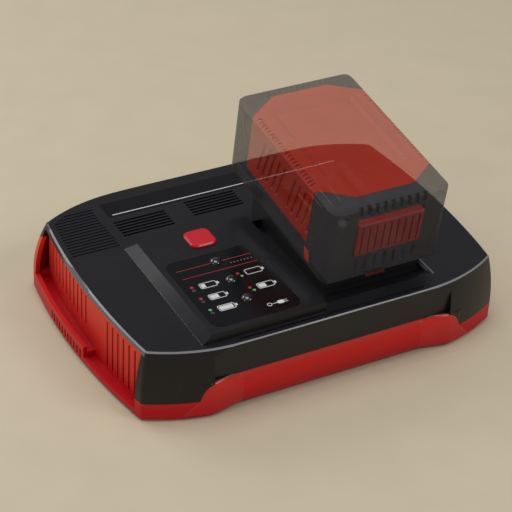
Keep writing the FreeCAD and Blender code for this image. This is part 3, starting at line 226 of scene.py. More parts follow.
def handled_tint():
    """A colour with slow patches and fine pale scuffs laid over it."""
    name = "handled_tint"
    if name in bpy.data.node_groups:
        return bpy.data.node_groups[name]
    group, start, end = empty_group(
        name,
        [("Colour", "NodeSocketColor", (0.5, 0.5, 0.5, 1.0)), ("Patch", "NodeSocketFloat", 0.12),
         ("Scuff", "NodeSocketFloat", 0.1), ("Scuff Colour", "NodeSocketColor", (0.3, 0.3, 0.3, 1.0))],
        [("Colour", "NodeSocketColor"), ("Scuff", "NodeSocketFloat")],
    )
    nodes, links = group.nodes, group.links
    place = nodes.new("ShaderNodeTexCoord")
    patch = nodes.new("ShaderNodeTexNoise")
    patch.inputs["Scale"].default_value = 34.0
    patch.inputs["Detail"].default_value = 4.0
    stretch = nodes.new("ShaderNodeMapping")
    stretch.inputs["Scale"].default_value = (1.0, 7.0, 1.0)
    scuff = nodes.new("ShaderNodeTexNoise")
    scuff.inputs["Scale"].default_value = 60.0
    scuff.inputs["Detail"].default_value = 8.0
    edge = nodes.new("ShaderNodeMapRange")
    edge.inputs["From Min"].default_value = 0.58
    edge.inputs["From Max"].default_value = 0.78
    shade = nodes.new("ShaderNodeMapRange")
    shade.inputs["From Min"].default_value = 0.3
    shade.inputs["From Max"].default_value = 0.7
    shade.inputs["To Min"].default_value = 1.0
    darker = nodes.new("ShaderNodeMath")
    darker.operation = "SUBTRACT"
    darker.inputs[0].default_value = 1.0
    fade = nodes.new("ShaderNodeMix")
    fade.data_type = "RGBA"
    fade.blend_type = "MULTIPLY"
    fade.inputs["Factor"].default_value = 1.0
    strength = nodes.new("ShaderNodeMath")
    strength.operation = "MULTIPLY"
    over = nodes.new("ShaderNodeMix")
    over.data_type = "RGBA"
    links.new(place.outputs["Object"], patch.inputs["Vector"])
    links.new(place.outputs["Object"], stretch.inputs["Vector"])
    links.new(stretch.outputs["Vector"], scuff.inputs["Vector"])
    links.new(patch.outputs["Fac"], shade.inputs["Value"])
    links.new(start.outputs["Patch"], darker.inputs[1])
    links.new(darker.outputs[0], shade.inputs["To Max"])
    links.new(start.outputs["Colour"], fade.inputs["A"])
    links.new(shade.outputs["Result"], fade.inputs["B"])
    links.new(scuff.outputs["Fac"], edge.inputs["Value"])
    links.new(edge.outputs["Result"], strength.inputs[0])
    links.new(start.outputs["Scuff"], strength.inputs[1])
    links.new(strength.outputs[0], over.inputs["Factor"])
    links.new(fade.outputs["Result"], over.inputs["A"])
    links.new(start.outputs["Scuff Colour"], over.inputs["B"])
    links.new(over.outputs["Result"], end.inputs["Colour"])
    links.new(strength.outputs[0], end.inputs["Scuff"])
    return group


def two_tone():
    """Masks of the black shell: its red parts, its edges that carry painted highlights and the slope that turns
    matt.
    """
    name = "two_tone"
    if name in bpy.data.node_groups:
        return bpy.data.node_groups[name]
    group, _, end = empty_group(name, [], [(mask, "NodeSocketFloat") for mask in ("Red", "Edge", "Slope")])
    nodes, links = group.nodes, group.links
    place = nodes.new("ShaderNodeTexCoord")
    split = nodes.new("ShaderNodeSeparateXYZ")
    facing = nodes.new("ShaderNodeSeparateXYZ")
    links.new(place.outputs["Object"], split.inputs[0])
    links.new(place.outputs["Normal"], facing.inputs[0])

    def maths(operation, *values):
        node = nodes.new("ShaderNodeMath")
        node.operation = operation
        for socket, value in zip(node.inputs, values):
            if isinstance(value, float):
                socket.default_value = value
            else:
                links.new(value, socket)
        return node.outputs[0]

    def near(value, middle, half):
        return maths("LESS_THAN", maths("ABSOLUTE", maths("SUBTRACT", value, middle)), half)

    def held(value, low, high):
        return maths("MINIMUM", maths("MAXIMUM", value, low), high)

    x, y, z = (split.outputs[axis] for axis in "XYZ")
    across = maths("ABSOLUTE", x)

    run = maths("DIVIDE", maths("SUBTRACT", ARCH_OUT, across), ARCH_OUT - ARCH_IN)
    left_over = maths("SUBTRACT", 1.0, held(run, 0.0, 1.0))
    rise = maths("SUBTRACT", 1.0, maths("POWER", left_over, ARCH_POWER))
    height = maths("MULTIPLY_ADD", rise, ARCH_LEVEL - FOOT_LEVEL, FOOT_LEVEL)
    cap = maths("MULTIPLY_ADD", y, CAP_SLOPE, CAP_LEVEL)
    corner = maths("MULTIPLY", maths("GREATER_THAN", across, CAP_X), maths("GREATER_THAN", y, CAP_Y))
    corner = maths("MULTIPLY", corner, maths("LESS_THAN", z, maths("MINIMUM", cap, CAP_TOP)))
    links.new(maths("MAXIMUM", maths("LESS_THAN", z, height), corner), end.inputs["Red"])

    # Painted highlights: the deck's chamfer, the upright end edges and the dock's long edges turn pale.
    rim = maths("MULTIPLY", near(facing.outputs["Z"], RIM_TILT, RIM_SPREAD), near(z, RIM_LEVEL, RIM_HALF))
    outward = maths("GREATER_THAN", maths("ABSOLUTE", facing.outputs["X"]), END_FACING)
    upright = maths("MULTIPLY", outward, maths("GREATER_THAN", z, END_LEVEL))
    sides = maths("ADD", near(x, DOCK_LEFT, DOCK_LINE), near(x, DOCK_RIGHT, DOCK_LINE))
    dock = maths("MULTIPLY", maths("MULTIPLY", sides, near(z, DOCK_TOP, DOCK_LINE)),
                 maths("MULTIPLY", near(y, DOCK_MIDDLE, DOCK_HALF), DOCK_HIGHLIGHT))
    edge = maths("MAXIMUM", rim, maths("MULTIPLY", upright, END_HIGHLIGHT))
    links.new(maths("MAXIMUM", dock, edge), end.inputs["Edge"])

    slope = maths("MULTIPLY", maths("LESS_THAN", facing.outputs["X"], SLOPE_FACING),
                  maths("GREATER_THAN", z, SLOPE_LEVEL))
    fade = held(maths("DIVIDE", maths("SUBTRACT", SLOPE_REAR, y), SLOPE_LONG), SLOPE_LEAST, 1.0)
    links.new(maths("MULTIPLY", slope, fade), end.inputs["Slope"])
    return group


def warm_red():
    """A red that turns a little more orange with height, as painted light from above."""
    name = "warm_red"
    if name in bpy.data.node_groups:
        return bpy.data.node_groups[name]
    group, start, end = empty_group(
        name, [("Colour", "NodeSocketColor", (0.5, 0.0, 0.01, 1.0))], [("Colour", "NodeSocketColor")])
    nodes, links = group.nodes, group.links
    place = nodes.new("ShaderNodeTexCoord")
    split = nodes.new("ShaderNodeSeparateXYZ")
    share = nodes.new("ShaderNodeMapRange")
    share.inputs["From Min"].default_value = PAINTED_LIGHT_LOW
    share.inputs["From Max"].default_value = PAINTED_LIGHT_HIGH
    blend = nodes.new("ShaderNodeMix")
    blend.data_type = "RGBA"
    blend.inputs["B"].default_value = PAINTED_LIGHT_TONE
    links.new(place.outputs["Object"], split.inputs[0])
    links.new(split.outputs["Z"], share.inputs["Value"])
    links.new(share.outputs["Result"], blend.inputs["Factor"])
    links.new(start.outputs["Colour"], blend.inputs["A"])
    links.new(blend.outputs["Result"], end.inputs["Colour"])
    return group


# Finishes


def finish_of(name, colour, rough=0.4, grain=2600.0, bump=0.12, drift=0.1, patch=0.12, scuff=0.08,
              scuff_colour=(0.2, 0.2, 0.2), metal=0.0, gloss=0.5, coat=0.0, coat_rough=0.1, alpha=None):
    """A finish: one Principled shader fed by the shared grain and tint groups."""
    name = "dressed_" + name
    if name in bpy.data.materials:
        return bpy.data.materials[name]
    material = bpy.data.materials.new(name)
    material.use_nodes = True
    nodes, links = material.node_tree.nodes, material.node_tree.links
    shader = nodes["Principled BSDF"]
    shader.inputs["Metallic"].default_value = metal
    shader.inputs["Specular IOR Level"].default_value = gloss
    shader.inputs["Coat Weight"].default_value = coat
    shader.inputs["Coat Roughness"].default_value = coat_rough
    texture = nodes.new("ShaderNodeGroup")
    texture.node_tree = moulded_grain()
    texture.inputs["Grain Scale"].default_value = grain
    texture.inputs["Roughness"].default_value = rough
    texture.inputs["Drift"].default_value = drift
    tint = nodes.new("ShaderNodeGroup")
    tint.node_tree = handled_tint()
    tint.inputs["Colour"].default_value = (*colour, 1.0)
    tint.inputs["Patch"].default_value = patch
    tint.inputs["Scuff"].default_value = scuff
    tint.inputs["Scuff Colour"].default_value = (*scuff_colour, 1.0)
    links.new(tint.outputs["Colour"], shader.inputs["Base Color"])
    links.new(texture.outputs["Roughness"], shader.inputs["Roughness"])
    if bump:
        relief = nodes.new("ShaderNodeBump")
        relief.inputs["Strength"].default_value = bump
        relief.inputs["Distance"].default_value = 0.0002
        links.new(texture.outputs["Height"], relief.inputs["Height"])
        links.new(relief.outputs["Normal"], shader.inputs["Normal"])
    if alpha is not None:
        see_through(material, alpha)
    return material


def see_through(material, alpha):
    """Only the first surface that a ray meets shows, as in a ghosted view."""
    nodes, links = material.node_tree.nodes, material.node_tree.links
    path = nodes.new("ShaderNodeLightPath")
    first = nodes.new("ShaderNodeMath")
    first.operation = "LESS_THAN"
    first.inputs[1].default_value = 0.5
    shown = nodes.new("ShaderNodeMath")
    shown.operation = "MULTIPLY"
    shown.inputs[1].default_value = alpha
    links.new(path.outputs["Transparent Depth"], first.inputs[0])
    links.new(first.outputs[0], shown.inputs[0])
    links.new(shown.outputs[0], nodes["Principled BSDF"].inputs["Alpha"])


def black_plastic():
    """Satin black of the top shell, red where the two-tone mask says, with pale highlights painted along its
    edges.
    """
    material = finish_of("satin_black", tuple(settings().shell_black), rough=0.3, bump=0.08, drift=0.16,
                         patch=0.3, scuff=0.12, scuff_colour=(0.05, 0.048, 0.055), gloss=0.36)
    nodes, links = material.node_tree.nodes, material.node_tree.links
    if "two_tone" in nodes:
        return material
    mask = nodes.new("ShaderNodeGroup")
    mask.node_tree = two_tone()
    mask.name = "two_tone"
    # The red parts of the black shell carry the same painted light from above.
    red = nodes.new("ShaderNodeGroup")
    red.node_tree = warm_red()
    red.inputs["Colour"].default_value = (*settings().shell_red, 1.0)
    highlighted, coloured = nodes.new("ShaderNodeMix"), nodes.new("ShaderNodeMix")
    for blend in (highlighted, coloured):
        blend.data_type = "RGBA"
    highlighted.inputs["B"].default_value = HIGHLIGHT_TONE
    matt = nodes.new("ShaderNodeMath")
    matt.operation = "MULTIPLY_ADD"
    matt.inputs[1].default_value = SLOPE_MATT
    shader = nodes["Principled BSDF"]
    # The painted highlights mix pale grey into the black.
    links.new(mask.outputs["Edge"], highlighted.inputs["Factor"])
    links.new(shader.inputs["Base Color"].links[0].from_socket, highlighted.inputs["A"])
    links.new(mask.outputs["Red"], coloured.inputs["Factor"])
    links.new(highlighted.outputs["Result"], coloured.inputs["A"])
    links.new(red.outputs["Colour"], coloured.inputs["B"])
    links.new(coloured.outputs["Result"], shader.inputs["Base Color"])
    links.new(mask.outputs["Slope"], matt.inputs[0])
    links.new(shader.inputs["Roughness"].links[0].from_socket, matt.inputs[2])
    links.new(matt.outputs[0], shader.inputs["Roughness"])
    return material


def dock_plastic():
    """Matt black of the dock."""
    return finish_of("matt_black", (0.012, 0.012, 0.0135), rough=0.5, bump=0.16, gloss=0.35)


def red_plastic():
    """Red of the bottom shell, painted a little more orange towards its top as light from above."""
    material = finish_of("shell_red", tuple(settings().shell_red), rough=0.42, bump=0.08, drift=0.1,
                         patch=0.08, scuff=0.04, scuff_colour=(0.7, 0.12, 0.1), gloss=0.22)
    nodes, links = material.node_tree.nodes, material.node_tree.links
    if "warm_red" in nodes:
        return material
    # Painted light: the red shifts to orange towards the top.
    warm = nodes.new("ShaderNodeGroup")
    warm.node_tree = warm_red()
    warm.name = "warm_red"
    shader = nodes["Principled BSDF"]
    links.new(shader.inputs["Base Color"].links[0].from_socket, warm.inputs["Colour"])
    links.new(warm.outputs["Colour"], shader.inputs["Base Color"])
    return material


def gloss_film():
    """Glossy black printed film."""
    return finish_of("gloss_film", (0.0016, 0.0016, 0.002), rough=0.14, bump=0.0, drift=0.06, patch=0.2,
                     scuff=0.05, scuff_colour=(0.02, 0.02, 0.024), gloss=0.25)


def lens_plastic():
    """Smoked lens over an unlit lamp."""
    return finish_of("smoked_lens", (0.004, 0.004, 0.0045), rough=0.1, bump=0.0, drift=0.04, gloss=0.6,
                     coat=0.6, coat_rough=0.04)


def ink(name, colour):
    """A printed ink."""
    return finish_of(name, colour, rough=0.42, bump=0.0, drift=0.05, patch=0.1, scuff=0.1,
                     scuff_colour=(0.05, 0.05, 0.05))


def white_ink():
    """White ink of the display and the nameplate."""
    return ink("white_ink", (0.62, 0.62, 0.6))


def metal_finish(name, colour, rough=0.32):
    """A bare or plated metal."""
    return finish_of(name, colour, rough=rough, grain=900.0, bump=0.06, drift=0.12, patch=0.1, scuff=0.15,
                     scuff_colour=tuple(0.6 * c for c in colour), metal=1.0)


def dress(finish, *names):
    """Give CAD nodes a finish in all their slots."""
    for name in names:
        mesh = frame["nodes"][name].data
        mesh.materials.clear()
        mesh.materials.append(finish)


# Mesh helpers


def new_piece(name, body, build, finishes, smooth=False):
    """A mesh piece made by a function and carried by a body."""
    mesh = bpy.data.meshes.new(name)
    bm = bmesh.new()
    build(bm)
    bmesh.ops.recalc_face_normals(bm, faces=bm.faces)
    bm.to_mesh(mesh)
    bm.free()
    for finish in finishes:
        mesh.materials.append(finish)
    for face in mesh.polygons:
        face.use_smooth = smooth
    piece = bpy.data.objects.new(name, mesh)
    bpy.context.scene.collection.objects.link(piece)
    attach(piece, body)
    return piece


def walls(bm, lower, upper):
    """Faces between two closed rings of as many points."""
    count = len(lower)
    return [bm.faces.new((lower[n], lower[(n + 1) % count], upper[(n + 1) % count], upper[n]))
            for n in range(count)]


def plate(bm, outline, level, thick, finish=0):
    """A thin raised plate over a flat outline."""
    low = [bm.verts.new((x, y, level)) for x, y in outline]
    high = [bm.verts.new((x, y, level + thick)) for x, y in outline]
    for face in [bm.faces.new(high), bm.faces.new(low[::-1]), *walls(bm, low, high)]:
        face.material_index = finish


def bar(bm, x0, x1, y0, y1, level, thick, finish=0):
    """A thin raised bar."""
    plate(bm, [(x0, y0), (x1, y0), (x1, y1), (x0, y1)], level, thick, finish)


def hoop(bm, outer, inner, level, thick, finish=0):
    """A thin raised frame between two outlines with as many points."""
    top = level + thick
    rings = [[bm.verts.new((x, y, z)) for x, y in outline]
             for outline, z in ((outer, level), (outer, top), (inner, top), (inner, level))]
    for number in range(4):
        for face in walls(bm, rings[number], rings[(number + 1) % 4]):
            face.material_index = finish


def ring_mark(bm, x, y, outer, inner, level, thick, finish=0):
    """A thin raised ring."""
    hoop(bm, round_outline(x, y, outer), round_outline(x, y, inner), level, thick, finish)


def block(bm, corners):
    """A six-sided solid from two loops of four corners."""
    points = [bm.verts.new(corner) for corner in corners]
    for face in ((3, 2, 1, 0), (4, 5, 6, 7), (0, 1, 5, 4), (1, 2, 6, 5), (2, 3, 7, 6), (3, 0, 4, 7)):
        bm.faces.new([points[number] for number in face])


def round_outline(x, y, radius, points=24):
    """Points round a circle."""
    return [(x + radius * math.cos(2 * math.pi * n / points), y + radius * math.sin(2 * math.pi * n / points))
            for n in range(points)]


def soft_box(x0, x1, y0, y1, radius, points=6):
    """A rectangle with round corners."""
    outline = []
    for cx, cy, turn in ((x1 - radius, y1 - radius, 0), (x0 + radius, y1 - radius, 1),
                         (x0 + radius, y0 + radius, 2), (x1 - radius, y0 + radius, 3)):
        for n in range(points + 1):
            angle = (turn + n / points) * math.pi / 2
            outline.append((cx + radius * math.cos(angle), cy + radius * math.sin(angle)))
    return outline


# Pieces


class CHARGER_OT_shells(bpy.types.Operator):
    """Finish the two shells, the dock and the gland"""

    bl_idname = "charger.shells"
    bl_label = "Shells and dock"

    def execute(self, context):
        dress(black_plastic(), "upper_shell")
        dress(red_plastic(), "lower_shell")
        dress(dock_plastic(), "dock_plate", "terminal_block")
        dress(metal_finish("plated_contact", (0.75, 0.6, 0.33), 0.25), "contact_blades")
        rubber = finish_of("soft_rubber", (0.012, 0.012, 0.012), rough=0.75, bump=0.3, gloss=0.25)
        dress(rubber, "rubber_feet", "cable_gland")
        return {"FINISHED"}


def skin_of(*names):
    """A search tree over the meshes of CAD nodes."""
    points, faces = [], []
    for name in names:
        mesh = frame["nodes"][name].data
        first = len(points)
        points += [vertex.co.copy() for vertex in mesh.vertices]
        faces += [[first + number for number in face.vertices] for face in mesh.polygons]
    return BVHTree.FromPolygons(points, faces)


def ease(share):
    """A share between 0 and 1, with soft ends."""
    share = min(max(share, 0.0), 1.0)
    return share * share * (3 - 2 * share)


def fairing(bm, tree, side, end, columns=22, rows=18):
    """A skin that leads one foot into the band beside it."""
    inner, low, high = 0.0545, 0.0021, ARCH_LEVEL + 0.0004
    # The skin blends from the band's depth to the foot's between these places, and keeps to the foot beyond.
    blend_from, blend_to = 0.058, 0.0775
    # How far it stands out of the shell, how far its inner end is sunk into the band, over what length it rises
    # between the two, and how thick it is.
    proud, sunk, rising, thick = 0.00022, 0.00012, 0.009, 0.0018
    # Its top edge is tucked back to the black skirt above it, and its outer edge leans with the foot.
    tuck_tall, skirt_level, lean = 0.0016, ARCH_LEVEL + 0.0015, 0.95
    outside = 0.2

    def depth(x, z):
        hit = tree.ray_cast(Vector((side * x, end * outside, z)), Vector((0, -end, 0)))[0]
        return abs(hit.y) if hit else 0.0

    front, back = [], []
    for row in range(rows + 1):
        z = low + (high - low) * row / rows
        outer = ARCH_OUT + max(0.0, (FOOT_LEVEL - z) * lean)
        band, foot = depth(blend_from, z), depth(blend_to, z)
        lines = [[], []]
        for column in range(columns + 1):
            x = inner + (outer - inner) * column / columns
            y = depth(x, z)
            if x < blend_to:
                y = max(y, band + (foot - band) * ease((x - blend_from) / (blend_to - blend_from)))
            tuck = ease((z - high + tuck_tall) / tuck_tall)
            tuck *= max(0.0, y - depth(x, skirt_level) - proud) * (x < blend_to)
            y += (proud + sunk) * ease((x - inner) / rising) - sunk - tuck
            lines[0].append(bm.verts.new((side * x, end * y, z)))
            lines[1].append(bm.verts.new((side * x, end * (y - thick), z)))
        front.append(lines[0])
        back.append(lines[1])
    for sheet in (front, back):
        for row in range(rows):
            for column in range(columns):
                bm.faces.new((sheet[row][column], sheet[row][column + 1], sheet[row + 1][column + 1],
                              sheet[row + 1][column]))
    rims = [[(0, c) for c in range(columns + 1)], [(rows, c) for c in range(columns + 1)],
            [(r, 0) for r in range(rows + 1)], [(r, columns) for r in range(rows + 1)]]
    for rim in rims:
        for (r0, c0), (r1, c1) in zip(rim, rim[1:]):
            bm.faces.new((front[r0][c0], front[r1][c1], back[r1][c1], back[r0][c0]))


def end_cuts(bm):
    """Prisms that cut short upright slots in the outer wall at both ends."""
    for side in (-1, 1):
        inner, outer = side * CUT_IN * MM, side * CUT_OUT * MM
        for number in range(CUT_COUNT):
            front = (CUT_FIRST + CUT_PITCH * number) * MM
            rear = front + CUT_WIDE * MM
            block(bm, [(x, y, z) for z in (CUT_LOW * MM, CUT_HIGH * MM)
                       for x, y in ((inner, front), (outer, front), (outer, rear), (inner, rear))])


class CHARGER_OT_end_slots(bpy.types.Operator):
    """Short upright slots low on the outer wall at both ends"""

    bl_idname = "charger.end_slots"
    bl_label = "End slots"

    def execute(self, context):
        cutter = new_piece("end_slot_cutter", "charger", end_cuts, [red_plastic()])
        cutter.hide_render = True
        cutter.hide_viewport = True
        carve = frame["nodes"]["lower_shell"].modifiers.new("end_slots", "BOOLEAN")
        carve.object = cutter
        carve.operation = "DIFFERENCE"
        carve.solver = "EXACT"
        return {"FINISHED"}


class CHARGER_OT_fairings(bpy.types.Operator):
    """Skins that lead the four feet into the bands"""

    bl_idname = "charger.fairings"
    bl_label = "Foot fairings"

    def execute(self, context):
        tree = skin_of("upper_shell", "lower_shell")
        for side, end in ((-1, -1), (1, -1), (1, 1), (-1, 1)):
            name = "fairing_" + ("left" if side < 0 else "right") + ("_front" if end < 0 else "_rear")
            new_piece(name, "charger", lambda bm: fairing(bm, tree, side, end), [black_plastic()],
                      smooth=True)
        return {"FINISHED"}


def lens_dome(bm):
    """Three low domes over the lenses, each with a flat skirt down to its board."""
    low, high = LENSES
    middle = (low.x + high.x) / 2
    radius = (high.x - low.x) / 2
    rise = settings().lens_rise
    film = LABEL[1].z
    rings, sides = 7, 32
    for spot in range(3):
        y = low.y + radius + spot * (high.y - low.y - 2 * radius) / 2
        levels = [(radius, low.z), (radius, film)]
        for ring in range(1, rings):
            turn = ring / rings * math.pi / 2
            levels.append((radius * math.cos(turn), film + rise * math.sin(turn)))
        loops = [[bm.verts.new((px, py, z)) for px, py in round_outline(middle, y, r, sides)] for r, z in levels]
        for lower, upper in zip(loops, loops[1:]):
            walls(bm, lower, upper)
        top = bm.verts.new((middle, y, film + rise))
        for n in range(sides):
            bm.faces.new((loops[-1][n], loops[-1][(n + 1) % sides], top))
        bm.faces.new(loops[0][::-1])


class CHARGER_OT_lenses(bpy.types.Operator):
    """Domed lenses in place of the plain ones"""

    bl_idname = "charger.lenses"
    bl_label = "Lenses"

    def execute(self, context):
        dress(lens_plastic(), "light_lenses")
        domes = new_piece("lens_domes", "charger", lens_dome, [lens_plastic()], smooth=True)
        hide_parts("light_lenses")
        return {"FINISHED"}


def battery_mark(bm, x, y, thick, fill):
    """Outline of a battery with its tip and, by choice, its charge."""
    long, tall, line = 10.5 * MM, 5.2 * MM, 0.45 * MM
    tip_from, tip_to, small = 0.2 * MM, 1.4 * MM, 0.3 * MM
    level = LABEL[1].z
    outer = soft_box(x, x + long, y, y + tall, 1.2 * MM)
    inner = soft_box(x + line, x + long - line, y + line, y + tall - line, 0.75 * MM)
    hoop(bm, outer, inner, level, thick)
    tip = soft_box(x + long + tip_from, x + long + tip_to, y + tall * 0.3, y + tall * 0.7, small)
    plate(bm, tip, level, thick)
    if fill:
        end = x + 2 * line + (long - 4 * line) * fill
        plate(bm, soft_box(x + 2 * line, end, y + 2 * line, y + tall - 2 * line, small), level, thick)


def plug_mark(bm, x, y, level, thick):
    """A plug with two prongs, its lead and a ring."""
    body, half, prong_end, lead = 4.2 * MM, 1.5 * MM, 6.4 * MM, 3 * MM
    plate(bm, soft_box(x, x + body, y - half, y + half, 1.2 * MM), level, thick, WHITE)
    for prong in (-0.8 * MM, 0.8 * MM):
        bar(bm, x + body, x + prong_end, y + prong - 0.2 * MM, y + prong + 0.2 * MM, level, thick, WHITE)
    bar(bm, x - lead, x, y - 0.25 * MM, y + 0.25 * MM, level, thick, WHITE)
    ring_mark(bm, x - 5 * MM, y, 1.5 * MM, 1.1 * MM, level, thick, WHITE)


def label_marks(bm):
    """Printed marks of the display: rules, battery signs, dots and a plug sign."""
    low, high = LABEL
    level, thick = high.z, settings().print_rise
    left, right = low.x + 4 * MM, high.x - 4 * MM
    for down in RULE_ROWS:
        y = high.y - down * MM
        bar(bm, left, right, y, y + RULE_WIDE * MM, level, thick, RED)
    for (down, fill), tone in zip(LEFT_ROWS, (RED, RED, GREEN)):
        y = high.y - down * MM
        battery_mark(bm, left + 6 * MM, y, thick, fill)
        plate(bm, round_outline(left + 1.4 * MM, y + 3.6 * MM, 1.0 * MM), level, thick, tone)
        ring_mark(bm, left + 1.4 * MM, y + 0.6 * MM, 0.95 * MM, 0.65 * MM, level, thick, GREY)
    for down, fill in RIGHT_ROWS:
        y = high.y - down * MM
        battery_mark(bm, right - 12 * MM, y, thick, fill)
        plate(bm, round_outline(right - 16.5 * MM, y + 3.4 * MM, 1.0 * MM), level, thick, RED)
        plate(bm, round_outline(right - 15.2 * MM, y + 0.4 * MM, 0.9 * MM), level, thick, GREEN)
    plug_mark(bm, right - 9 * MM, low.y + 7.5 * MM, level, thick)
    for number in range(7):
        x = right - (15 - 2.2 * number) * MM
        plate(bm, round_outline(x, high.y - 13.4 * MM, 0.5 * MM, 12), level, thick, GREY)


class CHARGER_OT_label(bpy.types.Operator):
    """Display film with its printed marks"""

    bl_idname = "charger.label"
    bl_label = "Display label"

    def execute(self, context):
        dress(gloss_film(), "display_label")
        inks = [white_ink(), ink("red_ink", (0.42, 0.02, 0.03)),
                ink("green_ink", (0.12, 0.4, 0.14)), ink("grey_ink", (0.12, 0.13, 0.13))]
        new_piece("label_print", "charger", label_marks, inks)
        return {"FINISHED"}


def strip_rule(bm):
    """Thin white rule along the front of the nameplate."""
    low, high = STRIP
    inset, wide = 3 * MM, 0.7 * MM
    y = low.y + 2.2 * MM
    bar(bm, low.x + inset, high.x - inset, y, y + wide, high.z, settings().print_rise)


class CHARGER_OT_nameplate(bpy.types.Operator):
    """Bare gloss strip with its white rule"""

    bl_idname = "charger.nameplate"
    bl_label = "Nameplate strip"

    def execute(self, context):
        dress(gloss_film(), "nameplate_strip")
        new_piece("strip_print", "charger", strip_rule, [white_ink()])
        return {"FINISHED"}


class CHARGER_OT_buttons(bpy.types.Operator):
    """Red select button and the pack's ribbed release button"""

    bl_idname = "charger.buttons"
    bl_label = "Buttons"

    def execute(self, context):
        red = finish_of("button_red", (0.5, 0.004, 0.014), rough=0.3, bump=0.06, patch=0.1, scuff=0.08,
                        scuff_colour=(0.8, 0.2, 0.2), gloss=0.5)
        dress(red, "select_button")
        release = finish_of("release_red", (0.2, 0.012, 0.008), rough=0.45, bump=0.12, patch=0.15, gloss=0.35,
                            alpha=0.75)
        dress(release, "release_button")
        return {"FINISHED"}


def in_pack(u, v, w):
    """A point of the pack's own frame, given in millimetres, as a place in the scene."""
    turn, (x, y, z) = math.radians(PACK_PITCH), PACK_AT
    back = y + v * math.cos(turn) - w * math.sin(turn)
    up = z + v * math.sin(turn) + w * math.cos(turn)
    return Vector((x + u, back, up)) * MM


def strip_tip(bm):
    """Red tip at the front of each bare side strip."""
    for side in (-1, 1):
        block(bm, [in_pack(side * u, v, w) for u in TIP_FACES for v, w in TIP_OUTLINE])


class CHARGER_OT_pack(bpy.types.Operator):
    """See-through battery pack: cover, bumpers, base, strips and cells"""

    bl_idname = "charger.pack"
    bl_label = "Battery pack"

    def execute(self, context):
        chosen = settings()
        cover = finish_of("pack_cover_red", tuple(chosen.cover_red), rough=0.5, bump=0.12, patch=0.1,
                          scuff=0.05, scuff_colour=(0.6, 0.2, 0.1), gloss=0.14, alpha=chosen.cover_alpha)
        dress(cover, "pack_cover")
        grey = finish_of("pack_bumper_grey", tuple(chosen.bumper_grey), rough=0.6, bump=0.2, patch=0.2,
                         scuff=0.1, gloss=0.35, alpha=chosen.bumper_alpha)
        dress(grey, "front_bumper", "rear_bumper", "pack_base")
        strip = finish_of("pack_strip", (0.01, 0.01, 0.011), rough=0.25, bump=0.0, patch=0.2, alpha=0.9)
        dress(strip, "side_labels")
        inner = finish_of("pack_inner", (0.02, 0.02, 0.022), rough=0.6, bump=0.1, alpha=1.0)
        dress(inner, "cell_carrier", "pack_board")
        sleeve = finish_of("cell_sleeve", (0.03, 0.035, 0.05), rough=0.3, bump=0.0, alpha=1.0)
        dress(sleeve, "cells")
        nickel = finish_of("nickel", (0.6, 0.58, 0.53), rough=0.3, metal=1.0, alpha=1.0)
        dress(nickel, "cell_links", "pack_terminals", "pack_screws", "latch_spring")
        # The ghosted pack dims nothing that stands behind it.
        for node in frame["nodes"].values():
            if body_of(node) == ["battery_pack"]:
                node.visible_shadow = False
        tip = finish_of("strip_tip", (0.5, 0.02, 0.01), rough=0.35, bump=0.0, alpha=0.85)
        new_piece("strip_tip", "battery_pack", strip_tip, [tip])
        return {"FINISHED"}


class CHARGER_OT_inner(bpy.types.Operator):
    """Finishes of what the housing holds"""

    bl_idname = "charger.inner"
    bl_label = "Inner pieces"

    def execute(self, context):
        board = finish_of("board_green", (0.012, 0.09, 0.035), rough=0.35, bump=0.05, patch=0.2)
        dress(board, "main_board", "light_board")
        black = finish_of("part_black", (0.015, 0.015, 0.017), rough=0.45, bump=0.05)
        dress(black, "capacitors", "select_switch")
        dress(finish_of("ferrite", (0.03, 0.03, 0.032), rough=0.7, bump=0.2), "transformer_core")
        dress(metal_finish("copper_wire", (0.6, 0.26, 0.1), 0.35), "transformer_coil", "filter_choke")
        dress(metal_finish("plain_aluminium", (0.6, 0.6, 0.62), 0.4), "heat_sink")
        dress(metal_finish("zinc_steel", (0.45, 0.45, 0.46), 0.35), "housing_screws")
        return {"FINISHED"}


def set_camera():
    """The camera, at the angle of the reference view."""
    around, up = math.radians(AZIMUTH), math.radians(ELEVATION)
    back = Vector((-math.sin(around) * math.cos(up), -math.cos(around) * math.cos(up), math.sin(up)))
    right = (-back).cross(Vector((0, 0, 1))).normalized()
    top = right.cross(-back)
    roll = math.radians(ROLL)
    tilted_right = right * math.cos(roll) + top * math.sin(roll)
    tilted_top = top * math.cos(roll) - right * math.sin(roll)
    turn = Matrix((tilted_right, tilted_top, back)).transposed().to_4x4()
    data = bpy.data.cameras.new("view_camera")
    data.sensor_width = 36.0
    data.lens = LENS
    data.clip_start = 0.01
    camera = bpy.data.objects.new("view_camera", data)
    camera.matrix_world = Matrix.Translation(TARGET + back * DISTANCE) @ turn
    bpy.context.scene.collection.objects.link(camera)
    bpy.context.scene.camera = camera


def floor_finish():
    """Pale warm tabletop."""
    return finish_of("pale_floor", (0.56, 0.48, 0.34), rough=0.6, grain=300.0, bump=0.02, drift=0.05,
                     patch=0.04, scuff=0.0, gloss=0.3)


def soft_lamp(name, place, aim, size, power):
    """A square soft lamp turned towards a point."""
    data = bpy.data.lights.new(name, "AREA")
    data.shape = "RECTANGLE"
    data.size, data.size_y = size
    data.energy = power
    lamp = bpy.data.objects.new(name, data)
    lamp.location = place
    lamp.rotation_euler = (Vector(aim) - Vector(place)).to_track_quat("-Z", "Y").to_euler()
    bpy.context.scene.collection.objects.link(lamp)


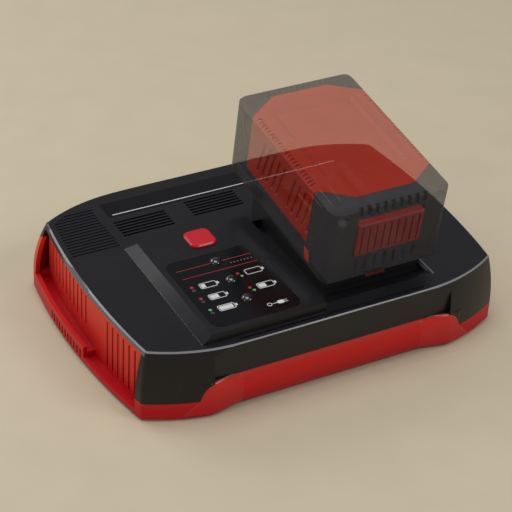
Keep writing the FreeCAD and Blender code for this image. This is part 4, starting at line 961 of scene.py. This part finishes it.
class CHARGER_OT_stage(bpy.types.Operator):
    """Floor, lamps, world and camera"""

    bl_idname = "charger.stage"
    bl_label = "Stage"

    def execute(self, context):
        context.scene.view_settings.view_transform = "Standard"
        # A ray through the ghosted pack meets every surface of what the pack holds.
        context.scene.cycles.transparent_max_bounces = 48
        set_camera()
        mesh = bpy.data.meshes.new("floor")
        reach = 6.0
        mesh.from_pydata([(-reach, -reach, 0), (reach, -reach, 0), (reach, reach, 0), (-reach, reach, 0)], [],
                         [(0, 1, 2, 3)])
        mesh.materials.append(floor_finish())
        floor = bpy.data.objects.new("floor", mesh)
        context.scene.collection.objects.link(floor)
        world = bpy.data.worlds.new("studio")
        world.use_nodes = True
        sky = world.node_tree.nodes["Background"]
        sky.inputs["Color"].default_value = (0.9, 0.92, 1.0, 1.0)
        sky.inputs["Strength"].default_value = 0.3
        context.scene.world = world
        for lamp in LAMPS:
            soft_lamp(*lamp)
        return {"FINISHED"}


class CHARGER_PT_panel(bpy.types.Panel):
    """Lists the steps in the sidebar"""

    bl_idname = "CHARGER_PT_panel"
    bl_label = "Charger"
    bl_space_type = "VIEW_3D"
    bl_region_type = "UI"
    bl_category = "Charger"

    def draw(self, context):
        chosen = context.scene.charger
        for prop in ("shell_black", "shell_red", "cover_red", "bumper_grey", "cover_alpha", "bumper_alpha",
                     "print_rise", "lens_rise"):
            self.layout.prop(chosen, prop)
        for operator in OPERATORS:
            self.layout.operator(operator.bl_idname)


OPERATORS = (
    CHARGER_OT_stage, CHARGER_OT_shells, CHARGER_OT_fairings, CHARGER_OT_end_slots, CHARGER_OT_inner,
    CHARGER_OT_label, CHARGER_OT_lenses, CHARGER_OT_nameplate, CHARGER_OT_buttons, CHARGER_OT_pack,
)
CLASSES = (ChargerSettings, *OPERATORS, CHARGER_PT_panel)


def register():
    """Register the classes and the settings."""
    for item in CLASSES:
        bpy.utils.register_class(item)
    bpy.types.Scene.charger = bpy.props.PointerProperty(type=ChargerSettings)


def unregister():
    """Take the settings and the classes away again."""
    del bpy.types.Scene.charger
    for item in reversed(CLASSES):
        bpy.utils.unregister_class(item)


def main():
    """Dress the whole charger."""
    register()
    for operator in OPERATORS:
        getattr(bpy.ops.charger, operator.bl_idname.split(".")[1])()


if __name__ == "__main__":
    main()
